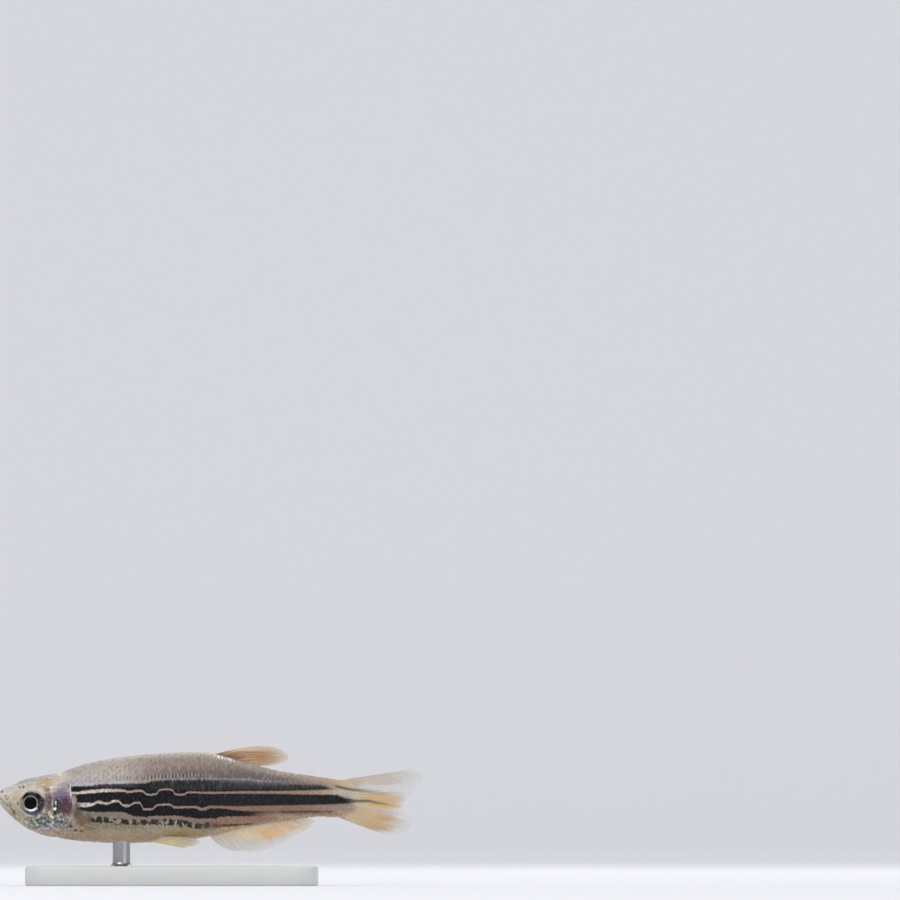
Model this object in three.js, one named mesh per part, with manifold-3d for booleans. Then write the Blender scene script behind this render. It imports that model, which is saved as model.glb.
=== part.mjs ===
// A striped danio, a small freshwater fish, life size on a plain display stand. Millimetres, +Z up.
// The head points along -X and the fish's left side faces -Y.
// The origin is on the underside of the stand, below the middle of the fish's length.
// Inside the fish's own group x runs back from the snout, and z is measured from the body's axis.
import * as THREE from "three";
import { mergeVertices } from "three/addons/utils/BufferGeometryUtils.js";
import Module from "manifold-3d";

// Driving dimensions
const TOTAL_LENGTH = 44;
const STANDARD_LENGTH = 35;
const AXIS_HEIGHT = 9;
const GAP = 0.3;
const EYE_GAP = 0.22;
const EYE_RADIUS = 1.28;
const NOSE_LENGTH = 0.7;
const SNOUT_LEVEL = 0.05;
const TAIL_CUT = 21.6;
const SLIVER = 0.005;

// The body at named places along its length: distance from the snout, height of the back, depth of the belly,
// half width, level of the widest point, and fullness of the section, where 2 is an ellipse.
const STATIONS = [
  { at: 0, back: 0.72, belly: -0.35, half: 0.75, mid: 0.05, full: 2.1 }, // snout
  { at: 1.3, back: 1.2, belly: -1.72, half: 1.12, mid: -0.15, full: 2.1 }, // jaws
  { at: 2.9, back: 1.9, belly: -3.0, half: 1.72, mid: -0.45, full: 2.3 }, // nostrils
  { at: 4.6, back: 2.25, belly: -3.78, half: 2.08, mid: -0.55, full: 2.4 }, // eyes
  { at: 6.6, back: 2.68, belly: -4.17, half: 2.3, mid: -0.45, full: 2.3 }, // nape
  { at: 9.3, back: 3.55, belly: -4.48, half: 2.45, mid: -0.25, full: 2.2 }, // shoulder
  { at: 13.7, back: 4.32, belly: -4.63, half: 2.55, mid: 0.1, full: 2.15 }, // deepest belly
  { at: 19.6, back: 4.69, belly: -4.28, half: 2.3, mid: 0.3, full: 2.1 }, // highest back
  { at: 22.5, back: 4.5, belly: -3.78, half: 2.0, mid: 0.3, full: 2.05 }, // front of the unpaired fins
  { at: 25.4, back: 3.71, belly: -3.07, half: 1.6, mid: 0.3, full: 2.0 }, // end of the dorsal fin's base
  { at: 29, back: 2.8, belly: -2.45, half: 1.15, mid: 0.2, full: 2.0 }, // anal fin's base
  { at: 32.8, back: 2.23, belly: -1.93, half: 0.72, mid: 0.15, full: 2.0 }, // tail stalk
  { at: STANDARD_LENGTH, back: 1.89, belly: -1.99, half: 0.42, mid: -0.05, full: 2.1 },
];

// Mesh density of the body
const BODY_RINGS = 54;
const RING_SIDES = 40;

const wasm = await Module();
wasm.setup();

// Solids and geometries

function solidFrom(geometry) {
  const bare = geometry.clone();
  bare.deleteAttribute("normal");
  bare.deleteAttribute("uv");
  const merged = mergeVertices(bare, 1e-4);
  return new wasm.Manifold(
    new wasm.Mesh({
      numProp: 3,
      vertProperties: new Float32Array(merged.attributes.position.array),
      triVerts: new Uint32Array(merged.index.array),
    }),
  );
}

function geometryFrom(solid) {
  const mesh = solid.getMesh();
  const geometry = new THREE.BufferGeometry();
  geometry.setAttribute("position", new THREE.BufferAttribute(mesh.vertProperties, 3));
  geometry.setIndex(new THREE.BufferAttribute(mesh.triVerts, 1));
  geometry.computeVertexNormals();
  return geometry;
}

// The largest closed surface of a solid, without the slivers that joins and cuts leave.
function largest(solid) {
  const pieces = solid.decompose();
  return pieces.reduce((best, piece) => (piece.volume() > best.volume() ? piece : best)).simplify(SLIVER);
}

// A closed mesh from corner points and triangles, turned so that its faces point out.
function closedGeometry(points, triangles) {
  const volume = triangles.reduce((sum, [a, b, c]) => {
    const cross = new THREE.Vector3().crossVectors(points[b], points[c]);
    return sum + points[a].dot(cross);
  }, 0);
  const ordered = volume > 0 ? triangles : triangles.map(([a, b, c]) => [a, c, b]);
  const geometry = new THREE.BufferGeometry();
  geometry.setAttribute(
    "position",
    new THREE.Float32BufferAttribute(points.flatMap((p) => p.toArray()), 3),
  );
  geometry.setIndex(ordered.flat());
  return geometry;
}

function mirrored(geometry) {
  const copy = geometry.clone().scale(1, -1, 1);
  const index = copy.index.array;
  for (let i = 0; i < index.length; i += 3) {
    [index[i + 1], index[i + 2]] = [index[i + 2], index[i + 1]];
  }
  copy.computeVertexNormals();
  return copy;
}

// A side-view outline of [x, z] points, extruded from one side of the fish to the other or between two levels of y.
function sideBlock(outline, low = -10, high = 10) {
  const shape = new THREE.Shape(outline.map(([x, z]) => new THREE.Vector2(x, z)));
  const block = new THREE.ExtrudeGeometry(shape, { depth: high - low, bevelEnabled: false });
  return block.rotateX(Math.PI / 2).translate(0, high, 0);
}

// Body surface

// Smooth interpolation of one measure along the body, by a cubic between each pair of stations.
function measure(name, x) {
  const last = STATIONS.length - 1;
  const at = THREE.MathUtils.clamp(x, 0, STANDARD_LENGTH);
  const i = Math.min(last - 1, STATIONS.findLastIndex((station) => station.at <= at));
  const slope = (k) => {
    const a = STATIONS[Math.max(0, k - 1)];
    const b = STATIONS[Math.min(last, k + 1)];
    return (b[name] - a[name]) / (b.at - a.at);
  };
  const [from, to] = [STATIONS[i], STATIONS[i + 1]];
  const span = to.at - from.at;
  const t = (at - from.at) / span;
  const rise = t * t * (3 - 2 * t);
  const leave = t * (1 - t) * (1 - t) * span;
  const arrive = t * t * (t - 1) * span;
  return from[name] + (to[name] - from[name]) * rise + slope(i) * leave + slope(i + 1) * arrive;
}

function noseFactor(x) {
  const t = THREE.MathUtils.clamp(x / NOSE_LENGTH, 0, 1);
  return Math.sqrt(1 - (1 - t) * (1 - t));
}

// Back, belly, half width and widest level of the section at x, grown outwards by an offset.
function section(x, offset = 0) {
  const nose = noseFactor(x + offset);
  const level = (name) => SNOUT_LEVEL + (measure(name, x) - SNOUT_LEVEL) * nose;
  return {
    top: level("back") + offset,
    bottom: level("belly") - offset,
    mid: level("mid"),
    half: measure("half", x) * nose + offset,
    full: measure("full", x),
  };
}

// Half width of the body at a side-view point.
function halfWidthAt(x, z, offset = 0) {
  const { top, bottom, mid, half, full } = section(x, offset);
  const share = z > mid ? (z - mid) / (top - mid) : (mid - z) / (mid - bottom);
  return half * Math.pow(Math.max(0, 1 - Math.pow(Math.min(1, share), full)), 1 / full);
}

// The point of the fish's left side at a side-view point, and the direction that faces out of it there.
function onSkin(x, z, lift = 0) {
  const step = 0.05;
  const alongX = (halfWidthAt(x + step, z) - halfWidthAt(x - step, z)) / (2 * step);
  const alongZ = (halfWidthAt(x, z + step) - halfWidthAt(x, z - step)) / (2 * step);
  const out = new THREE.Vector3(-alongX, -1, -alongZ).normalize();
  const point = new THREE.Vector3(x, -halfWidthAt(x, z), z).addScaledVector(out, lift);
  return { point, out };
}

function ringPoint({ top, bottom, mid, half, full }, x, turn) {
  const [c, s] = [Math.cos(turn), Math.sin(turn)];
  const bulge = (value) => Math.sign(value) * Math.pow(Math.abs(value), 2 / full);
  const height = s > 0 ? top - mid : mid - bottom;
  return new THREE.Vector3(x, half * bulge(c), mid + height * bulge(s));
}

// The whole body from the snout to the end of the tail stalk, grown outwards by an offset.
function bodyGeometry(offset = 0) {
  const length = STANDARD_LENGTH + 2 * offset;
  const points = [new THREE.Vector3(-offset, 0, SNOUT_LEVEL)];
  for (let ring = 1; ring <= BODY_RINGS; ring++) {
    const along = length * Math.pow(ring / BODY_RINGS, 1.35) - offset;
    const place = section(along, offset);
    for (let side = 0; side < RING_SIDES; side++) {
      points.push(ringPoint(place, along, (2 * Math.PI * side) / RING_SIDES));
    }
  }
  const end = section(STANDARD_LENGTH, offset);
  points.push(new THREE.Vector3(STANDARD_LENGTH + offset, 0, end.mid));
  const triangles = [];
  const at = (ring, side) => 1 + (ring - 1) * RING_SIDES + (side % RING_SIDES);
  for (let side = 0; side < RING_SIDES; side++) {
    triangles.push([0, at(1, side), at(1, side + 1)]);
    triangles.push([points.length - 1, at(BODY_RINGS, side + 1), at(BODY_RINGS, side)]);
    for (let ring = 1; ring < BODY_RINGS; ring++) {
      triangles.push([at(ring, side), at(ring + 1, side), at(ring + 1, side + 1)]);
      triangles.push([at(ring, side), at(ring + 1, side + 1), at(ring, side + 1)]);
    }
  }
  return closedGeometry(points, triangles);
}

const body = solidFrom(bodyGeometry());
const clearance = solidFrom(bodyGeometry(GAP));

// Head, gill covers, trunk and tail

// The rear edge of the head in side view, from the nape round the gill opening to the throat.
const HEAD_EDGE = [
  [6.2, 6], [6.6, 2.7], [7.6, 1.1], [8.15, -0.4], [8.2, -1.5], [7.6, -2.7], [6.3, -3.7], [5.2, -6],
];
const GILL_COVER_EDGE = [
  [5.75, 0.75], [7.35, 0.85], [7.95, -0.1], [8.1, -1.4], [7.55, -2.6], [6.5, -3.2], [5.7, -2.4], [5.5, -0.8],
];
const COVER_THICKNESS = 0.55;
const COVER_LIFT = 0.14;

function smoothLine(points, count, closed = false) {
  const curve = new THREE.CatmullRomCurve3(
    points.map(([x, z]) => new THREE.Vector3(x, 0, z)),
    closed,
  );
  const line = curve.getPoints(count).map((p) => [p.x, p.z]);
  return closed ? line.slice(0, -1) : line;
}

function grown(outline, by) {
  const centre = new THREE.Vector2();
  outline.forEach(([x, z]) => centre.add(new THREE.Vector2(x, z).divideScalar(outline.length)));
  return outline.map(([x, z]) => {
    const reach = new THREE.Vector2(x, z).sub(centre);
    reach.setLength(reach.length() + by).add(centre);
    return [reach.x, reach.y];
  });
}

const headLine = smoothLine(HEAD_EDGE, 28);
const headBlock = solidFrom(sideBlock([...headLine, [-3, -6], [-3, 6]]));
const trunkLine = headLine.map(([x, z]) => [x + GAP, z]);
const trunkBlock = solidFrom(sideBlock([...trunkLine.reverse(), [TAIL_CUT, 6], [TAIL_CUT, -6]]));
const TAIL_FRONT = TAIL_CUT + GAP;
const tailBlock = solidFrom(sideBlock([[TAIL_FRONT, -6], [40, -6], [40, 6], [TAIL_FRONT, 6]]));

const coverLine = smoothLine(GILL_COVER_EDGE, 26, true);
const coverSolid = solidFrom(bodyGeometry(COVER_LIFT))
  .subtract(solidFrom(bodyGeometry(COVER_LIFT - COVER_THICKNESS)))
  .intersect(solidFrom(sideBlock(coverLine, -10, 0)));
const coverRecess = solidFrom(sideBlock(grown(coverLine, GAP)))
  .subtract(solidFrom(bodyGeometry(COVER_LIFT - COVER_THICKNESS - GAP)));

// Eyes: a lens with a raised pupil, set in a socket of the same form

const EYE_PLACE = { x: 3.69, z: -0.48 };
const EYE_DEPTH = 0.85;
const EYE_BULGE = 0.3;
const EYE_SINK = 0.02;

function eyeGeometry(grow = 0) {
  const radius = EYE_RADIUS + grow;
  const profile = [
    [0, -EYE_DEPTH - grow],
    [radius * 0.62, -EYE_DEPTH * 0.86 - grow],
    [radius * 0.9, -EYE_DEPTH * 0.5 - grow],
    [radius, -EYE_DEPTH * 0.15],
    [radius * 0.96, 0.04 + grow],
    [radius * 0.75, EYE_BULGE * 0.55 + grow],
    [radius * 0.46, EYE_BULGE * 0.85 + grow],
    [0, EYE_BULGE + grow],
  ];
  return new THREE.LatheGeometry(profile.map(([r, y]) => new THREE.Vector2(r, y)), 28);
}

function eyePose() {
  const { point, out } = onSkin(EYE_PLACE.x, EYE_PLACE.z, EYE_SINK);
  out.y *= 1.6;
  const turn = new THREE.Quaternion().setFromUnitVectors(new THREE.Vector3(0, 1, 0), out.normalize());
  return { point, turn };
}

function eyeSocket() {
  const { point, turn } = eyePose();
  return eyeGeometry(EYE_GAP).applyQuaternion(turn).translate(point.x, point.y, point.z);
}

// Mouth, nostrils and barbels

const MOUTH = { tip: 0.22, corner: 1.55, drop: 0.85, gap: 0.16 };
const LIP_STEPS = [{ wide: 0.42, high: 0.07 }, { wide: 0.3, high: 0.13 }];
const NOSTRILS = [{ x: 2.35, z: 1.12 }, { x: 2.75, z: 1.14 }];
const NOSTRIL_RADIUS = 0.16;
const BARBELS = [
  { root: [1.4, -0.75], tip: [2.15, -2.4], thick: 0.23 },
  { root: [0.75, 0.3], tip: [1.15, -0.45], thick: 0.2 },
];

function mouthLevel(x) {
  return MOUTH.tip - MOUTH.drop * x;
}

function mouthSlot() {
  const half = MOUTH.gap / 2;
  const reach = MOUTH.corner;
  return solidFrom(
    sideBlock([
      [-1, mouthLevel(-1) - half],
      [reach, mouthLevel(reach)],
      [-1, mouthLevel(-1) + half * 3],
    ]),
  );
}

// A lip beside the mouth's slot, raised over the skin in two steps. side is 1 for the upper lip and -1 for the lower.
function lipSolid(side) {
  const near = (side * MOUTH.gap) / 2;
  const steps = LIP_STEPS.map(({ wide, high }) => {
    const far = side * wide;
    const band = [
      [0, mouthLevel(0) + near],
      [0, mouthLevel(0) + far],
      [MOUTH.corner, mouthLevel(MOUTH.corner) + far],
      [MOUTH.corner, mouthLevel(MOUTH.corner) + near],
    ];
    return solidFrom(bodyGeometry(high)).intersect(solidFrom(sideBlock(band)));
  });
  return steps[0].add(steps[1]);
}

function nostrilPits() {
  return NOSTRILS.map(({ x, z }) => {
    const { point } = onSkin(x, z);
    const pit = new THREE.SphereGeometry(NOSTRIL_RADIUS, 8, 6);
    return solidFrom(pit.translate(point.x, point.y, point.z));
  });
}

// A tapered feeler with its root sunk in the skin.
function barbelSolid({ root, tip, thick }) {
  const from = onSkin(root[0], root[1], -thick).point;
  const to = onSkin(tip[0], tip[1], thick * 0.9).point;
  const spine = new THREE.ConeGeometry(1, 1, 7, 3).translate(0, 0.5, 0);
  const reach = new THREE.Vector3().subVectors(to, from);
  spine.scale(thick, reach.length(), thick);
  spine.applyQuaternion(
    new THREE.Quaternion().setFromUnitVectors(new THREE.Vector3(0, 1, 0), reach.normalize()),
  );
  return solidFrom(spine.translate(from.x, from.y, from.z));
}

// The same small forms on both sides of the head.
function bothSides(solids) {
  return solids.flatMap((solid) => [solid, solid.mirror([0, 1, 0])]);
}

function headSolid() {
  const socket = bothSides([solidFrom(eyeSocket())]);
  const cuts = [...socket, ...bothSides(nostrilPits()), coverRecess];
  let solid = body.intersect(headBlock).subtract(mouthSlot());
  solid = solid.add(lipSolid(1)).add(lipSolid(-1));
  bothSides(BARBELS.map(barbelSolid)).forEach((barbel) => (solid = solid.add(barbel)));
  cuts.forEach((cut) => (solid = solid.subtract(cut)));
  return largest(solid);
}

// Fins

// A fin between a root line and a tip line, both running from the leading ray to the last one.
// Each ray is a ridge on both faces. side is the direction of the fin's thickness.
function finGeometry({ root, tip, rays, rows, side, bow, thick, thin, ridge }) {
  const out = new THREE.Vector3(...side).normalize();
  const bend = new THREE.Vector3(...bow);
  const rootLine = new THREE.CatmullRomCurve3(root.map((p) => new THREE.Vector3(...p)));
  const tipLine = new THREE.CatmullRomCurve3(tip.map((p) => new THREE.Vector3(...p)));
  const columns = [];
  for (let ray = 0; ray < rays; ray++) {
    columns.push({ v: ray / (rays - 1), raised: 1 });
    if (ridge > 0 && ray < rays - 1) {
      columns.push({ v: (ray + 0.28) / (rays - 1), raised: 0 });
      columns.push({ v: (ray + 0.72) / (rays - 1), raised: 0 });
    }
  }
  const faces = [1, -1].map((sign) =>
    columns.map(({ v, raised }) => {
      const from = rootLine.getPoint(v);
      const to = tipLine.getPoint(v);
      return Array.from({ length: rows + 1 }, (_, row) => {
        const u = row / rows;
        const half = (thick + (thin - thick) * u * u * u) / 2 + raised * ridge * (1 - 0.6 * u);
        const middle = from.clone().lerp(to, u).addScaledVector(bend, 4 * u * (1 - u) * (1 - v));
        return middle.addScaledVector(out, sign * half);
      });
    }),
  );
  const points = faces.flat(2);
  const count = columns.length;
  const at = (face, column, row) => (face * count + column) * (rows + 1) + row;
  const triangles = [];
  for (let column = 0; column < count - 1; column++) {
    for (let row = 0; row < rows; row++) {
      const corners = [[column, row], [column + 1, row], [column + 1, row + 1], [column, row + 1]];
      const [a, b, c, d] = corners.map(([i, j]) => at(0, i, j));
      const [e, f, g, h] = corners.map(([i, j]) => at(1, i, j));
      triangles.push([a, b, c], [a, c, d], [e, g, f], [e, h, g]);
    }
  }
  const rim = [];
  for (let column = 0; column < count; column++) rim.push([column, 0]);
  for (let row = 1; row <= rows; row++) rim.push([count - 1, row]);
  for (let column = count - 2; column >= 0; column--) rim.push([column, rows]);
  for (let row = rows - 1; row > 0; row--) rim.push([0, row]);
  rim.forEach(([column, row], i) => {
    const [nextColumn, nextRow] = rim[(i + 1) % rim.length];
    const [a, b] = [at(0, column, row), at(0, nextColumn, nextRow)];
    const [c, d] = [at(1, column, row), at(1, nextColumn, nextRow)];
    triangles.push([a, c, d], [a, d, b]);
  });
  return closedGeometry(points, triangles);
}

const FIN_BODY = { thick: 0.5, thin: 0.3, ridge: 0.08 };
const UPRIGHT = [0, 1, 0];

// Unpaired fins stand on the midline.
const DORSAL_FIN = {
  ...FIN_BODY, rays: 9, rows: 6, side: UPRIGHT, bow: [0, 0, 0.42],
  root: [[21.7, 0, 4.1], [23.7, 0, 3.7], [25.6, 0, 3.1]],
  tip: [[28.6, 0, 5.27], [29.6, 0, 4.8], [30.05, 0, 4.2], [29.6, 0, 3.65], [28.3, 0, 3.5]],
};
const ANAL_FIN = {
  ...FIN_BODY, rays: 15, rows: 5, side: UPRIGHT, bow: [-0.2, 0, -0.35],
  root: [[21.75, 0, -3.4], [26.7, 0, -2.4], [31.5, 0, -1.75]],
  tip: [
    [24.8, 0, -5.5], [26.5, 0, -5.58], [28.1, 0, -5.2], [30.1, 0, -4.3], [31.9, 0, -3.25], [32.9, 0, -2.4],
  ],
};
const CAUDAL_FIN = {
  ...FIN_BODY, rays: 19, rows: 7, side: UPRIGHT, bow: [0, 0, 0],
  root: [[34.9, 0, 1.85], [35.2, 0, 0], [34.9, 0, -1.95]],
  tip: [
    [42.6, 0, 2.98], [43.9, 0, 2.55], [43.8, 0, 1.7], [42.9, 0, 0.6], [41.9, 0, -0.5],
    [41.9, 0, -1.4], [42.9, 0, -2.3], [42.3, 0, -3.4], [40.2, 0, -3.93],
  ],
};
// Paired fins are those of the left side. Their roots lie inside the body and are cut clear of it.
const PELVIC_FIN = {
  ...FIN_BODY, rays: 7, rows: 5, side: [0, 0.82, -0.57], bow: [0, 0, 0],
  root: [[15.1, -0.62, -4.15], [15.9, -0.95, -4.05], [16.6, -1.3, -3.85]],
  tip: [[19.3, -1.05, -5.15], [20.4, -1.35, -4.9], [20.9, -1.75, -4.45], [20.3, -2.05, -4.0]],
};
const PECTORAL_FIN = {
  ...FIN_BODY, rays: 10, rows: 6, side: [0.18, 0.95, -0.26], bow: [0, -0.15, 0.12],
  root: [[8.75, -1.85, -2.6], [8.75, -1.72, -3.0], [8.65, -1.5, -3.45]],
  tip: [[15.9, -3.1, -4.0], [16.5, -3.05, -4.3], [15.0, -2.8, -4.65], [12.6, -2.4, -4.7]],
};

function finSolid(fin) {
  return largest(solidFrom(finGeometry(fin)).subtract(clearance));
}

// Stand: a flat base with rounded corners and one short rod up to the belly

const BASE = { length: 30, width: 16, thickness: 2, corner: 3, bevel: 0.3, centreX: -4 };
const ROD = { x: -9.2, radius: 0.9, sides: 24 };

function baseGeometry() {
  const { length, width, thickness, corner, bevel } = BASE;
  const [x, y, r] = [length / 2 - bevel, width / 2 - bevel, corner - bevel];
  const shape = new THREE.Shape();
  shape.absarc(x - r, y - r, r, 0, Math.PI / 2);
  shape.absarc(-x + r, y - r, r, Math.PI / 2, Math.PI);
  shape.absarc(-x + r, -y + r, r, Math.PI, Math.PI * 1.5);
  shape.absarc(x - r, -y + r, r, Math.PI * 1.5, Math.PI * 2);
  const plate = new THREE.ExtrudeGeometry(shape, {
    depth: thickness - 2 * bevel,
    bevelSize: bevel,
    bevelThickness: bevel,
    bevelSegments: 2,
    curveSegments: 6,
  });
  return plate.translate(0, 0, bevel);
}

// The rod in the fish's frame, with its top cut to lie under the belly.
function rodSolid() {
  const [bottom, top] = [BASE.thickness - AXIS_HEIGHT, -3];
  const rod = new THREE.CylinderGeometry(ROD.radius, ROD.radius, top - bottom, ROD.sides);
  rod.rotateX(Math.PI / 2).translate(ROD.x + TOTAL_LENGTH / 2, 0, (top + bottom) / 2);
  return largest(solidFrom(rod).subtract(clearance));
}

// Materials

function finish(colour, roughness, metalness = 0) {
  return new THREE.MeshStandardMaterial({ color: colour, roughness, metalness });
}

const headSkin = finish(0xb3a58f, 0.4);
const coverSkin = finish(0x8b7588, 0.3, 0.2);
const trunkSkin = finish(0x9b8f8a, 0.4);
const tailSkin = finish(0x6d6a66, 0.4);
const eyeGlass = finish(0x14181b, 0.08);
const finFilm = finish(0xd2c3a0, 0.45);
const standPlate = finish(0xd8d8d6, 0.5);
const standSteel = finish(0xa9abad, 0.3, 1);

// Scene graph

function node(name, geometry, material) {
  const mesh = new THREE.Mesh(geometry, material);
  mesh.name = name;
  return mesh;
}

function eyeNode(name, sign) {
  const { point, turn } = eyePose();
  const eye = node(name, eyeGeometry(), eyeGlass);
  eye.position.set(point.x, sign * point.y, point.z);
  eye.quaternion.set(sign * turn.x, turn.y, sign * turn.z, turn.w);
  return eye;
}

const fish = new THREE.Group();
fish.position.set(-TOTAL_LENGTH / 2, 0, AXIS_HEIGHT);
fish.add(node("head", geometryFrom(headSolid()), headSkin));
fish.add(node("trunk", geometryFrom(largest(body.intersect(trunkBlock))), trunkSkin));
fish.add(node("tail", geometryFrom(largest(body.intersect(tailBlock))), tailSkin));
fish.add(node("dorsal_fin", geometryFrom(finSolid(DORSAL_FIN)), finFilm));
fish.add(node("anal_fin", geometryFrom(finSolid(ANAL_FIN)), finFilm));
fish.add(node("caudal_fin", geometryFrom(finSolid(CAUDAL_FIN)), finFilm));
fish.add(node("stand_rod", geometryFrom(rodSolid()), standSteel));

const paired = [
  ["gill_cover", geometryFrom(largest(coverSolid)), coverSkin],
  ["pelvic_fin", geometryFrom(finSolid(PELVIC_FIN)), finFilm],
  ["pectoral_fin", geometryFrom(finSolid(PECTORAL_FIN)), finFilm],
];
for (const [name, left, material] of paired) {
  fish.add(node(`${name}_left`, left, material));
  fish.add(node(`${name}_right`, mirrored(left), material));
}
fish.add(eyeNode("eye_left", 1));
fish.add(eyeNode("eye_right", -1));

const base = node("stand_base", baseGeometry(), standPlate);
base.position.set(BASE.centreX, 0, 0);

const danio = new THREE.Group();
danio.add(fish, base);
export default danio;
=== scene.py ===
# A striped danio on its display stand: skin, scales, fins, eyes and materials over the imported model.
# Measures are in millimetres in the fish's own frame: s runs back from the snout, z is the height over the
# body's axis and the left side is at negative y. Blender's own units are metres.
import math
from types import SimpleNamespace

import bpy
import numpy as np
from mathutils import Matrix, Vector


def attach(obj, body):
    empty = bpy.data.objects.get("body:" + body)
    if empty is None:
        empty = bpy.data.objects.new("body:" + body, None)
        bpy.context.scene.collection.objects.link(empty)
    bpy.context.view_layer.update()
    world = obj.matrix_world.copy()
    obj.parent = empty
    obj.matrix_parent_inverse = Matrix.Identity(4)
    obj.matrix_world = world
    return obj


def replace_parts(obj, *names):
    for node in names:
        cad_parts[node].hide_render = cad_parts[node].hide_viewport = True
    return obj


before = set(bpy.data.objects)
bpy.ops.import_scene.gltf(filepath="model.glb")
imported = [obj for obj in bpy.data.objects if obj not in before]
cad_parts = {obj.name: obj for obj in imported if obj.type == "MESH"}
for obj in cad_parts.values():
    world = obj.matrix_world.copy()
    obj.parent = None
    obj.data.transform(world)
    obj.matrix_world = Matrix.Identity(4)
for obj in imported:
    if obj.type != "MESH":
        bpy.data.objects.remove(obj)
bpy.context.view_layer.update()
dice = np.random.default_rng(7)

# The fish's frame in the model's frame
MM = 0.001
SNOUT_X = -22.0
AXIS_HEIGHT = 9.0

# The body
STANDARD_LENGTH = 35.0
SKIN_END = 36.4
NOSE_LENGTH = 0.7
SNOUT_LEVEL = 0.05
COAT_DEPTH = 0.08

# Distance from the snout, height of the back, depth of the belly, half width, level of the widest point,
# and fullness of the section, where 2 is an ellipse.
MEASURES = ("at", "back", "belly", "half", "mid", "full")
STATIONS = np.array([
    (0, 0.72, -0.35, 0.75, 0.05, 2.1),
    (1.3, 1.2, -1.72, 1.12, -0.15, 2.1),
    (2.9, 1.9, -3.0, 1.72, -0.45, 2.3),
    (4.6, 2.25, -3.78, 2.08, -0.55, 2.4),
    (6.6, 2.68, -4.17, 2.3, -0.45, 2.3),
    (9.3, 3.55, -4.48, 2.45, -0.25, 2.2),
    (13.7, 4.32, -4.63, 2.55, 0.1, 2.15),
    (19.6, 4.69, -4.28, 2.3, 0.3, 2.1),
    (22.5, 4.5, -3.78, 2.0, 0.3, 2.05),
    (25.4, 3.71, -3.07, 1.6, 0.3, 2.0),
    (29, 2.8, -2.45, 1.15, 0.2, 2.0),
    (32.8, 2.23, -1.93, 0.72, 0.15, 2.0),
    (STANDARD_LENGTH, 1.89, -1.99, 0.42, -0.05, 2.1),
])

# Places on the head, in side view
EYE = (3.69, -0.48)
EYE_RADIUS = 1.28
PUPIL_SHIFT = (-0.22, -0.05)
MOUTH_TIP = 0.22
MOUTH_DROP = 0.85
MOUTH_CORNER = 1.55
NOSTRILS = ((2.35, 1.12), (2.75, 1.14))
HEAD_EDGE = (
    (6.2, 6), (6.6, 2.7), (7.6, 1.1), (8.15, -0.4), (8.2, -1.5), (7.6, -2.7), (6.3, -3.7), (5.2, -6),
)
SUBOPERCLE = ((5.75, -1.95), (6.7, -2.15), (7.7, -1.95))
PREOPERCLE = ((5.35, 0.8), (5.45, -0.5), (5.55, -1.6), (5.2, -2.6), (4.4, -3.1), (3.3, -3.0))

# Scales
SCALE_PITCH = 0.9
ROW_PITCH = 0.74
SCALE_LENGTH = 1.5
SCALE_WIDTH = 1.04
SCALE_CELLS = (7, 6)
UNWRAP_MM = 34.0

# Barbels: thickness at the root, then points as (s, z, height over the skin)
BARBELS = (
    (0.17, ((1.2, -0.6, -0.12), (1.5, -1.15, 0.07), (1.75, -1.65, 0.16), (2.0, -2.2, 0.2))),
    (0.1, ((0.72, 0.42, -0.1), (0.9, 0.12, 0.06), (1.02, -0.1, 0.1), (1.1, -0.35, 0.12))),
)

# Fineness of the skin and the fins, and the angle over which an edge stays sharp
SKIN_SIDES = 264
HEAD_RINGS_END = 8.8
HEAD_RING_STEP = 0.05
TRUNK_RING_STEP = 0.24
SKIN_UNWRAP_MM = 37.0
RAY_CELLS = 14
SHARP_ANGLE = 48

# Stand
BASE_SIZE = (30.0, 16.0, 2.0)
BASE_CENTRE_X = -4.0
BASE_CORNER = 3.0
BASE_BEVEL = 0.3
ROD_X = -9.2
ROD_RADIUS = 0.9
ROD_FOOT = 0.5


# Numbers and meshes


def blend_step(low, high, x):
    """0 below low, 1 above high, and smooth between."""
    t = np.clip((x - low) / (high - low), 0, 1)
    return t * t * (3 - 2 * t)


def bump(x, width):
    """A smooth hill of height 1 at 0."""
    return np.exp(-((x / width) ** 2))


def linear(colour):
    """A 0 to 255 screen colour as the linear colour that a shader takes."""
    share = np.array(colour, float) / 255
    value = np.where(share <= 0.04045, share / 12.92, ((share + 0.055) / 1.055) ** 2.4)
    return (*value, 1.0)


def in_model(points):
    """Points of the fish's frame in the model's frame."""
    return (np.asarray(points, float) + (SNOUT_X, 0, AXIS_HEIGHT)) * MM


def smooth_line(points, count):
    """A Catmull-Rom line through some points, at count even steps."""
    p = np.array(points, float)
    p = np.vstack([2 * p[0] - p[1], p, 2 * p[-1] - p[-2]])
    t = np.linspace(0, len(points) - 1, count)
    i = np.minimum(t.astype(int), len(points) - 2)
    f = (t - i)[:, None]
    a, b, c, d = p[i], p[i + 1], p[i + 2], p[i + 3]
    square, cube = 2 * a - 5 * b + 4 * c - d, 3 * b - a - 3 * c + d
    return 0.5 * (2 * b + (c - a) * f + square * f**2 + cube * f**3)


def line_distance(s, z, points):
    """Distance from side-view points to a line of straight stretches."""
    nearest = np.full(np.shape(s), 1e9)
    for (s0, z0), (s1, z1) in zip(points, points[1:]):
        ds, dz = s1 - s0, z1 - z0
        t = np.clip(((s - s0) * ds + (z - z0) * dz) / (ds * ds + dz * dz), 0, 1)
        nearest = np.minimum(nearest, np.hypot(s - s0 - t * ds, z - z0 - t * dz))
    return nearest


def full_turn(count):
    """Angles at even steps, once round."""
    return np.arange(count) * 2 * math.pi / count


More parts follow.
